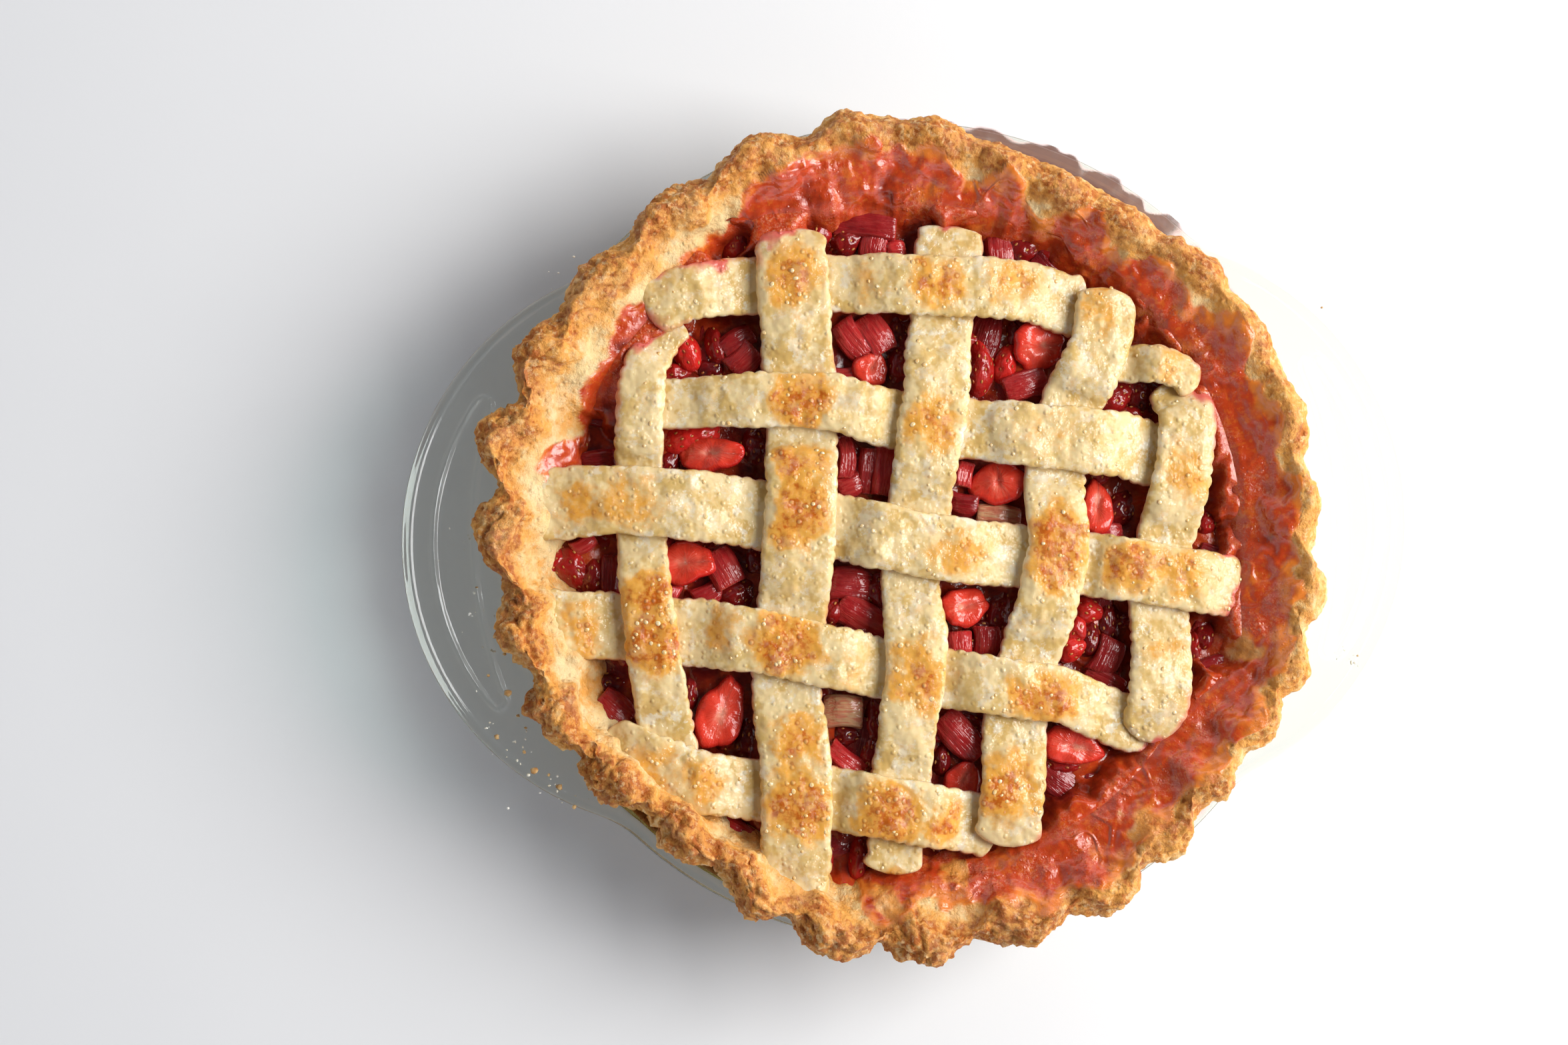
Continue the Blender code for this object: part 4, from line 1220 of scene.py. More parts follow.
@dataclass
class Lattice:
    """The eleven strips, woven over and under by turns, with coarse sugar on them."""

    step: float = 0.0008
    reach: float = 0.1165
    gap: float = 0.0004
    cut_pitch: float = 0.0042
    cut_depth: float = 0.00034
    puff: float = 0.0007
    climb_from: float = 0.103
    climb: float = 0.003
    top_columns: int = 32
    base_columns: int = 7
    grains: int = 1000
    grain_sizes: tuple[float, float] = (0.00045, 0.0008)
    grain_height: float = 0.3
    end_length: float = 0.014
    smooth_stations: int = 6
    smooth_width: float = 2.6
    # All in millimetres: the width at the start and the end, how deep each end sinks, over what
    # length each end is rounded, and the plan points.
    uprights: tuple = (
        ((13, 17), (0.6, 0), (3.5, 3), ((-68, 67), (-74.5, 59), (-79.2, 48), (-81.2, 30), (-82, 0),
         (-80.6, -30), (-76.2, -70))),
        ((21.5, 21), (1.6, 1.2), (4, 0), ((-32, 92), (-32.8, 68), (-32.2, 40), (-34.5, 8), (-39, -24),
         (-41.6, -48), (-40.5, -74), (-42.5, -101), (-43.5, -107))),
        ((20.5, 17), (2, 0.2), (2.5, 4), ((16.5, 91), (13, 71), (8.2, 42), (1.5, 8), (-2.9, -17), (-3, -36),
         (-7, -62), (-13.4, -102))),
        ((18.5, 19), (0.4, 1.6), (4, 5), ((62.6, 69), (59, 53), (50, 35), (43, 14), (41.2, -10), (35, -31),
         (27, -54), (24.6, -72), (21, -96))),
        ((18, 19), (0.8, 2.4), (5, 9), ((81.8, 40.5), (84, 26), (78.6, 2), (72.2, -20), (71.7, -44),
         (66, -68))),
    )
    crossers: tuple = (
        ((17, 19), (0.8, 0.6), (4, 4), ((-77, 69), (-62, 74.2), (-32.7, 75.4), (0, 73.2), (35.3, 69.7),
         (56, 64))),
        ((15, 20.5), (0.4, 1.4), (3.5, 5), ((-83, 41.6), (-48.7, 40.7), (-26, 39), (-3, 32.5), (22.5, 28.1),
         (54.5, 23.1), (80, 17.5))),
        ((21.5, 18), (1.4, 1.8), (0, 3), ((-115, 14), (-109.5, 13.4), (-83.8, 12.9), (-54.5, 8.4),
         (-23.3, 1.7), (8.2, -6.6), (40.1, -11.7), (72.1, -18), (98.5, -23.6))),
        ((20.5, 16.5), (1.4, 1.2), (0, 4), ((-114.5, -21.5), (-108.5, -22), (-74.2, -26.2), (-43.1, -32.2),
         (-15.9, -40.5), (11.6, -46.6), (37.4, -51.7), (52, -58), (70, -66))),
        ((18.5, 18.5), (3, 1.2), (6, 4), ((-97, -58.5), (-93, -60), (-69, -71.1), (-41.8, -75.8),
         (-14.5, -82.1), (19.5, -90.5))),
        ((11.5, 11), (0, 1), (4, 4), ((61, 47), (77, 45), (88.5, 39))),
    )
    # Where the oven has caught the strips: x, y and reach in millimetres, and how strongly.
    browned: tuple = (
        (-31.8, 76.8, 12, 0.55), (-32.9, 40.5, 11, 0.75), (-34, 20, 11, 0.6), (-35, 4.1, 12, 0.85),
        (-39.7, -59.6, 10, 0.6), (-40.8, -79.5, 13, 0.8), (-12.9, 74.8, 10, 0.2), (10.9, 71.6, 11, 0.55),
        (34.8, 72.4, 11, 0.45), (6.5, 30.9, 11, 0.5), (-1.8, -43.5, 13, 0.6), (42.3, -3.8, 11, 0.95),
        (39.7, -13.7, 10, 0.6), (-86.3, 11.7, 12, 0.3), (12.2, -7.3, 10, 0.4), (63.6, -14.9, 11, 0.75),
        (79.4, -17.6, 11, 0.45), (-64.6, -25.4, 10, 0.4), (-40.9, -31.5, 13, 0.75),
        (-19.7, -42.6, 10, 0.15), (33.6, -52.3, 12, 0.8), (-67.3, -72.1, 10, 0.4),
        (-14.1, -83.8, 13, 0.8), (3.5, -89.7, 9, 0.65), (-80.9, -15.6, 10, 0.85),
        (-79.7, -29.6, 11, 0.95), (22, -78.6, 12, 0.75), (-12, -99.9, 8, 0.4), (83.1, 12.1, 11, 0.4),
        (72.3, -37.2, 10, 0.25), (78.6, 45.2, 8, 0.3), (59, 61.2, 11, 0.25), (40, 26, 12, 0.12),
        (-97, -24, 12, 0.45), (-100, 12, 9, 0.35), (-84, -66, 10, 0.35),
    )

    def weave(self) -> list[Strip]:
        """Lays out the strips and their crossings: they take turns at going over."""
        def laid(kind: str, rows: tuple) -> list[Strip]:
            """The strips of one direction, in metres."""
            return [
                Strip(f"{kind}_strip_{number}", *(np.array(part) / 1000 for part in row))
                for number, row in enumerate(rows, 1)
            ]

        uprights, crossers = laid("upright", self.uprights), laid("cross", self.crossers)
        high = (uprights[0].thickness + self.gap) / 2
        for number, upright in enumerate(uprights, 1):
            for rank, crosser in enumerate(crossers, 1):
                short = rank == len(crossers)
                over = number < len(uprights) if short else (number + rank) % 2 == 1
                upright.cross(crosser, high if over else -high)
                crosser.cross(upright, -high if over else high)
        return uprights + crossers

    def surface(self, strip: Strip, number: int) -> tuple[Array, Array, Array]:
        """The strip's skin.

        Args:
            strip: The strip.
            number: Its number, so that no two strips have the same bumps.

        Returns:
            Its points in rings along the strip, how far across each is from -1 to 1, and how
            freely each can puff up, which is 0 where another strip lies on it.
        """
        spots, ahead = even_line(strip.knots, self.step)
        share = np.linspace(0, 1, len(spots))
        run = share * self.step * (len(spots) - 1)
        stations = np.linspace(0, 1, len(strip.spots))
        nearby = np.arange(-self.smooth_stations, self.smooth_stations + 1)
        kernel = np.exp(-0.5 * (nearby / self.smooth_width) ** 2)
        lift = np.interp(share, stations, strip.lifts())
        lift = np.pad(lift, self.smooth_stations, mode="edge")
        lift = np.convolve(lift, kernel / kernel.sum(), mode="valid")
        free = ease(-0.0019, -0.0008, lift)
        ends = [1 - ease(0, self.end_length, way) for way in (run, run[-1] - run)]
        lift = lift - strip.sunk[0] * ends[0] - strip.sunk[1] * ends[1]

        top = np.sin(np.linspace(-0.5, 0.5, self.top_columns) * math.pi) * 0.62
        top = top + np.linspace(-1, 1, self.top_columns) * 0.38
        base = np.linspace(1, -1, self.base_columns + 2)[1:-1]
        across = np.concatenate([top, base])
        upper = np.concatenate([np.ones(len(top)), np.zeros(len(base))])
        full = strip.fullness(run)
        round_edge = np.sqrt(np.clip(1 - np.abs(across) ** 11, 0, 1))
        up = np.where(upper > 0, round_edge, -round_edge) * strip.thickness / 2
        up = up * (0.4 + 0.6 * full[:, None])

        half = np.linspace(*strip.widths, len(spots)) / 2 * full
        spine = joined(run, 0.0, number * 0.31)
        drift = 0.0022 * RELIEF.noise(spine, 0.012)
        left = joined(-ahead[:, 1], ahead[:, 0])
        rim = np.abs(across) ** 4
        edges = []
        frayed = 1 - ease(0, self.end_length, np.minimum(run, run[-1] - run))
        for side in (-1, 1):
            bulge = 2 * np.abs(np.cos(math.pi * (run + side * 0.0011 + drift) / self.cut_pitch)) ** 0.8 - 1
            swing = self.cut_depth * (0.7 + 0.8 * RELIEF.noise(spine + [0, side, 3], 0.012))
            wobble = 0.0008 * RELIEF.noise(spine + [0, side, 0], 0.011)
            wobble = wobble + 0.0014 * frayed * RELIEF.noise(spine + [0, side, 6], 0.005)
            edges.append(full * (swing * bulge + wobble))
        cut = np.where(across[None] < 0, edges[0][:, None], edges[1][:, None]) * rim
        offset = -(half[:, None] * across + np.sign(across) * cut)
        plan = spots[:, None] + left[:, None] * offset[..., None]
        out = np.linalg.norm(plan, axis=-1, keepdims=True)
        plan = np.where(out > self.reach, plan / np.maximum(out, 1e-9) * self.reach, plan)

        u = np.broadcast_to(run[:, None], offset.shape) + number * 0.31
        place = joined(u, offset, 0.0)
        crown = self.puff * (1 - across**2)
        rolling = 0.0007 * RELIEF.noise(place, 0.012) + 0.00038 * RELIEF.noise(place + 2, 0.0045)
        lumps = 0.0002 * RELIEF.noise(place + 5, 0.0024)
        blisters = 0.0006 * RELIEF.domes(u, offset, 0.0085, 0.22, 7)
        skin = crown * full[:, None] + (rolling + lumps + blisters) * (1 - 0.75 * rim)
        loose = np.broadcast_to(free[:, None], offset.shape)
        pressed = np.where(share < 0.5, strip.tips[0] == 0, strip.tips[1] == 0)[:, None]
        past = np.clip((out[..., 0] - self.climb_from) / (self.reach - self.climb_from), 0.0, 1.0)
        raised = SHAPE.lattice_height(plan[..., 0], plan[..., 1]) + lift[:, None] + up
        raised = raised + upper * skin * loose + self.climb * pressed * past**1.6
        points = np.concatenate([plan, raised[..., None]], axis=-1)
        return points, np.broadcast_to(across, offset.shape), loose * upper

    def heat(self, points: Array) -> Array:
        """How browned each point is, from the places where the oven has caught the strips."""
        pale = np.ones(points.shape[:-1])
        east = points[..., 0] + 0.004 * RELIEF.layered(points + 20, 0.01)
        north = points[..., 1] + 0.004 * RELIEF.layered(points + 30, 0.01)
        for x, y, reach, strength in self.browned:
            away = np.hypot(east - x / 1000, north - y / 1000)
            pale = pale * (1 - strength * (1 - ease(0.15, 1.15, away / (reach / 1000))))
        return 1 - pale

    def build(self, strips: list[Strip], finish: DoughFinish, sugar: SpeckFinish, syrup: "Syrup") -> None:
        """Makes the strips in place of their solids, and sprinkles the sugar.

        Args:
            strips: The woven strips.
            finish: The dough.
            sugar: The sugar grains.
            syrup: The filling's syrup, which stains the edges that it touches.
        """
        material = finish.material()
        skins = []
        for number, strip in enumerate(strips):
            points, across, loose = self.surface(strip, number)
            level = syrup.level(points[..., 0], points[..., 1])
            above = points[..., 2] - level
            fringe = 0.001 * RELIEF.noise(points + 4, 0.004)
            stained = 1 - ease(0.0004, 0.003, above + fringe)
            woven = SHAPE.lattice_height(points[..., 0], points[..., 1])
            soaked = 1 - ease(-0.0013, -0.0001, points[..., 2] - woven)
            soaked = 0.55 * soaked * ease(0.9, 1.0, np.abs(across))
            lapped = syrup.share(points[..., 0], points[..., 1])
            wetted = ease(0.78, 1.0, np.abs(across) + 0.22 * RELIEF.noise(points + 8, 0.005))
            soaked = np.maximum(soaked, 0.75 * lapped * wetted)
            ends = lapped * (1 - ease(0.4, 1.6, np.abs(points[..., 2] - level) * 1000 - 0.8))
            soaked = np.maximum(soaked, 0.6 * ends)
            browned = 0.04 + 0.14 * loose + 1.1 * self.heat(points) * (0.35 + 0.65 * loose)
            browned = browned - 0.2 * np.abs(across) ** 8
            stock = Stock()
            faces = grid_faces(*points.shape[:2], False, True)
            stock.add(points, faces, browned=browned, stained=np.maximum(stained, soaked))
            ring = np.arange(points.shape[1])
            stock.faces.extend([ring[::-1].tolist(), (ring + points.shape[1] * (len(points) - 1)).tolist()])
            piece = stock.piece(f"dough_{strip.name}", material, Slot.DOUGH)
            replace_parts(piece, strip.name)
            inside = slice(3, self.top_columns - 3)
            skins.append((points[:, inside], ((browned + 0.15) * loose)[:, inside]))
        self.sprinkle(skins, sugar)

    def sprinkle(self, skins: list[tuple[Array, Array]], finish: SpeckFinish) -> None:
        """Scatters beads of melted sugar over the strips' tops, most where they have browned.

        Args:
            skins: The points of each strip's top, and how likely each is to have a bead.
            finish: The sugar.
        """
        draw = np.random.default_rng(5)
        shape, faces = small_ball()
        stock = Stock()
        sizes = np.array([len(points) for points, _ in skins])
        for chosen in draw.choice(len(skins), self.grains, p=sizes / sizes.sum()):
            points, likely = skins[chosen]
            row, column = draw.integers(len(points)), draw.integers(points.shape[1])
            if likely[row, column] < draw.random():
                continue
            turn = np.array(Euler((0, 0, draw.uniform(0, 6))).to_matrix())
            grain = shape * draw.uniform(*self.grain_sizes)
            grain = grain * (*draw.uniform(0.85, 1.15, 2), self.grain_height)
            stock.add(grain @ turn.T + points[row, column], faces)
        stock.piece("sugar_grains", finish.material(), Slot.DOUGH)


# ---- Filling ----


@dataclass
class Syrup:
    """The syrup: low in the lattice's gaps, and boiled up to the crust round the far side."""

    sides: int = 760
    middle: float = 0.084
    outside: float = 0.1135
    band_step: float = 0.0009
    plain_step: float = 0.0026
    rise: float = 0.0014
    climb: tuple[float, float] = (0.09, 0.1)
    side: float = 40.0
    full: float = 105.0
    none: float = 130.0
    # Where the gaps by the crust are open: x, y, width and height in millimetres.
    pits: tuple = (
        (-52.9, 89.4, 18, 11), (-9, 91.2, 24, 17), (38.4, 83.3, 22, 12), (-95.7, 32.1, 15, 18),
        (-102.2, -5.5, 24, 18), (-97.3, -46.7, 21, 20), (-58.1, -87.6, 12, 8), (-27, -102.1, 11, 24),
        (3.3, -100.6, 15, 6), (66.2, 36.7, 16, 14), (43.8, -67.5, 16, 9), (89.6, -6.6, 9, 13),
        (88.5, -40, 15, 16),
    )

    # Where it stands higher in a gap and the light comes through: x, y, reach, and how far up.
    shallows: tuple = (
        (-58.7, 92.1, 8, 2.5), (-103, 35, 7, 1.2), (-27, -109, 9, 3.5), (89.3, -8.2, 6, 2.0),
        (95, -38, 6, 2.5), (-62, 50, 6, 1.5), (-100, -1, 7, 1.5), (37, 47, 7, 1.5), (88, -42, 7, 1.0),
        (46, -68, 9, 3.6),
    )

    def shallow(self, x: Array, y: Array) -> Array:
        """How far the syrup stands up in the gaps, in metres."""
        spots = joined(x, y, 0.0)
        rise = 0.0014 * RELIEF.noise(spots + 9, 0.011) + 0.0005 * RELIEF.noise(spots, 0.005)
        for east, north, reach, height in self.shallows:
            away = np.hypot(x - east / 1000, y - north / 1000) * 1000 / reach
            rise = rise + height / 1000 * (1 - ease(0.3, 1.2, away))
        return rise

    def share(self, x: Array, y: Array) -> Array:
        """1 where syrup stands up to the lattice along the crust, and 0 in the open gaps."""
        lean = np.cos(np.arctan2(y, x) - math.radians(self.side))
        lapped = ease(math.cos(math.radians(self.none)), math.cos(math.radians(self.full)), lean)
        spots = joined(x, y, 0.0)
        share = lapped * ease(*self.climb, np.hypot(x, y) + 0.006 * RELIEF.layered(spots + 2, 0.012))
        ragged = 0.3 * RELIEF.layered(spots + 1, 0.008)
        for east, north, width, height in self.pits:
            away = np.hypot((x - east / 1000) * 2000 / width, (y - north / 1000) * 2000 / height)
            share = share * ease(0.75, 1.15, away + ragged)
        return share

    def level(self, x: Array, y: Array) -> Array:
        """Height of the syrup."""
        spots = joined(x, y, 0.0)
        woven = SHAPE.lattice_height(x, y)
        pool = woven - SHAPE.syrup_depth + self.shallow(x, y)
        away = np.hypot(x, y) - SHAPE.foot(np.arctan2(y, x))
        lumps = 0.0011 * RELIEF.layered(spots + 3, 0.007) + 0.0003 * RELIEF.noise(spots + 5, 0.0025)
        sauce = woven + self.rise + lumps * (1 - ease(-0.007, -0.001, away))
        sauce = sauce - 0.0035 * ease(-0.002, 0.004, away)
        return pool + (sauce - pool) * self.share(x, y)

    def build(self, strips: list[Strip], finish: SyrupFinish) -> None:
        """Makes the syrup's surface.

        Args:
            strips: The woven strips, which it has frothed up beside.
            finish: The syrup.
        """
        inside = np.arange(0.0, self.middle, self.plain_step)
        radii = np.concatenate([inside, np.arange(self.middle, self.outside, self.band_step)])
        angles = all_round(self.sides)
        x, y = np.cos(angles)[:, None] * radii, np.sin(angles)[:, None] * radii
        z = self.level(x, y)
        held = np.minimum(radii, SHAPE.wall_radius(z) - 0.002)
        points = turned(joined(held, z), angles)
        share = self.share(x, y)
        # Depth is highest in the open gaps. The near-black it gives there is partly deep syrup and partly
        # painted shade under the strips.
        depth = 0.92 - 0.47 * share**2 - 0.45 * ease(0.0, 0.003, self.shallow(x, y)) * (1 - share)
        plan = joined(x, y).reshape(-1, 2)
        beside = np.min([strip.beyond(plan) for strip in strips], axis=0).reshape(x.shape)
        foam = share * (1 - ease(0.001, 0.0055, beside + 0.0022 * RELIEF.layered(points + 6, 0.007)))
        stock = Stock()
        stock.add(points, grid_faces(*points.shape[:2], True, False), depth=depth, foam=foam)
        piece = stock.piece("syrup", finish.material(), Slot.FRUIT, merged=True)
        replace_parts(piece, "filling")


@dataclass(frozen=True)
class Berry:
    """Half a strawberry, its tip along +X and its highest point at height 0."""

    length: float
    width: float
    cut: bool
    tone: float
    number: int
    around: int = 40
    rings: int = 16
    depth_share: float = 0.36
    taper: float = 0.22
    seed_pitch: float = 0.0029
    dent: float = 0.00035

    def seed_spots(self) -> tuple[Array, Array]:
        """Where the seeds sit, as an angle and a share of the way out, by the golden angle."""
        area = self.length * self.width * 0.785
        count = int(area / self.seed_pitch**2)
        place = np.arange(count)
        return (place * 2.39996 + self.number) % (2 * math.pi), np.sqrt((place + 0.5) / count) * 0.97

    def shape(self) -> tuple[Array, dict[str, Array], Array]:
        """The berry's skin or cut face, its underside, and its masks.

        Returns:
            Points in rings round the middle, the masks, and directions straight out.
        """
        phi = all_round(self.around)[:, None]
        top = np.sin(np.linspace(0, math.pi / 2, self.rings))
        base = np.array([0.93, 0.7, 0.35, 0.0])
        s = np.concatenate([top, base])[None, :]
        upper = np.arange(s.shape[1])[None, :] < self.rings
        half, side = self.length / 2, self.width / 2
        depth = max(half, side) * 2 * self.depth_share
        ring = joined(np.cos(phi), np.sin(phi), self.number)
        uneven = 1 + 0.12 * RELIEF.noise(ring, 0.9) + 0.1 * self.cut * RELIEF.noise(ring + 5, 0.45)
        x = half * np.cos(phi) * s * uneven
        y = side * np.sin(phi) * (1 - self.taper * np.cos(phi)) * s * uneven
        dome = np.sqrt(np.clip(1 - s * s, 0, 1))
        spots = joined(x, y, self.number * 0.1)
        lumps = 0.0009 * RELIEF.noise(spots, 0.0055) + 0.0003 * RELIEF.noise(spots + 3, 0.0023)
        if self.cut:
            hollow = 0.0011 * np.exp(-(x / (0.4 * half)) ** 2 - (y / (0.14 * half)) ** 2)
            face = 0.0005 * (1 - s**2) - 0.0012 * s**16 - hollow + lumps
            z = np.where(upper, face, -0.0011 - depth * dome)
        else:
            z = np.where(upper, depth * (dome - 1) + lumps, -depth * (1 + 0.4 * dome))
            turn, out = self.seed_spots()
            seed_x, seed_y = half * np.cos(turn) * out, side * np.sin(turn) * out
            seed_y = seed_y * (1 - self.taper * np.cos(turn))
            away = np.hypot(x[..., None] - seed_x, y[..., None] - seed_y).min(axis=-1)
            z = z - self.dent * (1 - ease(0.0003, 0.0011, away)) * upper
        points, grain = joined(x, y, z), joined(y, x, z)
        if self.cut:
            grain = joined(phi * 0.35 * self.length, s * half, 0.0)
        cut = (upper & (s < 0.97) & self.cut) * np.ones(x.shape)
        core = np.hypot(0.75 * x / half - 0.12 * math.cos(self.number), 1.35 * y / side)
        core = np.where(s > 0.78, s + 0 * x, np.minimum(core, 0.72))
        masks = {"tone": self.tone, "grain": grain, "core": core, "cut": cut}
        return points, masks, grid_normals(points, True, False)


@dataclass(frozen=True)
class RhubarbSlice:
    """A slice of rhubarb stalk along X, ribbed along its back, its highest point at height 0."""

    length: float
    width: float
    tone: float
    number: int
    depth: float = 0.0062
    around: int = 36
    step: float = 0.001
    rib_pitch: float = 0.0019
    rib_height: float = 0.0002
    squareness: float = 3.2

    def shape(self) -> tuple[Array, dict[str, Array]]:
        """The slice's surface in rings along it, closed at its ends, and its masks."""
        half = self.length / 2
        run = np.linspace(-half + 0.0005, half - 0.0005, max(6, round(self.length / self.step)))
        cap = np.array([0.0, 0.35, 0.7, 0.92])
        size = np.concatenate([cap, np.ones(len(run)), cap[::-1]])[:, None]
        sunk = 0.0005 * (1 - cap**2)
        x = np.concatenate([-half + sunk, run, half - sunk[::-1]])[:, None]
        turn = all_round(self.around)[None, :]
        power = 2 / self.squareness
        y = self.width / 2 * np.sign(np.cos(turn)) * np.abs(np.cos(turn)) ** power
        up = np.sign(np.sin(turn)) * np.abs(np.sin(turn)) ** power
        spots = joined(x, y, up * 0.003 + self.number * 0.1)
        ribs = np.cos(2 * math.pi * (y + 0.0003 * RELIEF.noise(spots, 0.008)) / self.rib_pitch)
        swell = 1 + 0.1 * RELIEF.noise(spots * (1, 0, 1), 0.009)
        bow = (x / half) ** 2
        z = (self.depth / 2 * up + self.rib_height * ribs * np.clip(up, 0, 1)) * size
        z = z + 0.0005 * RELIEF.noise(spots + 3, 0.005) * size - self.depth / 2 - 0.001 * bow
        y = y * size * swell + 0.0012 * bow * math.cos(self.number * 2.1)
        points = joined(x, y, z)
        end = np.broadcast_to(np.where(size < 0.97, 1.0, 0.0), z.shape)
        return points, {"tone": self.tone, "grain": points + self.number * 0.05, "end": end}


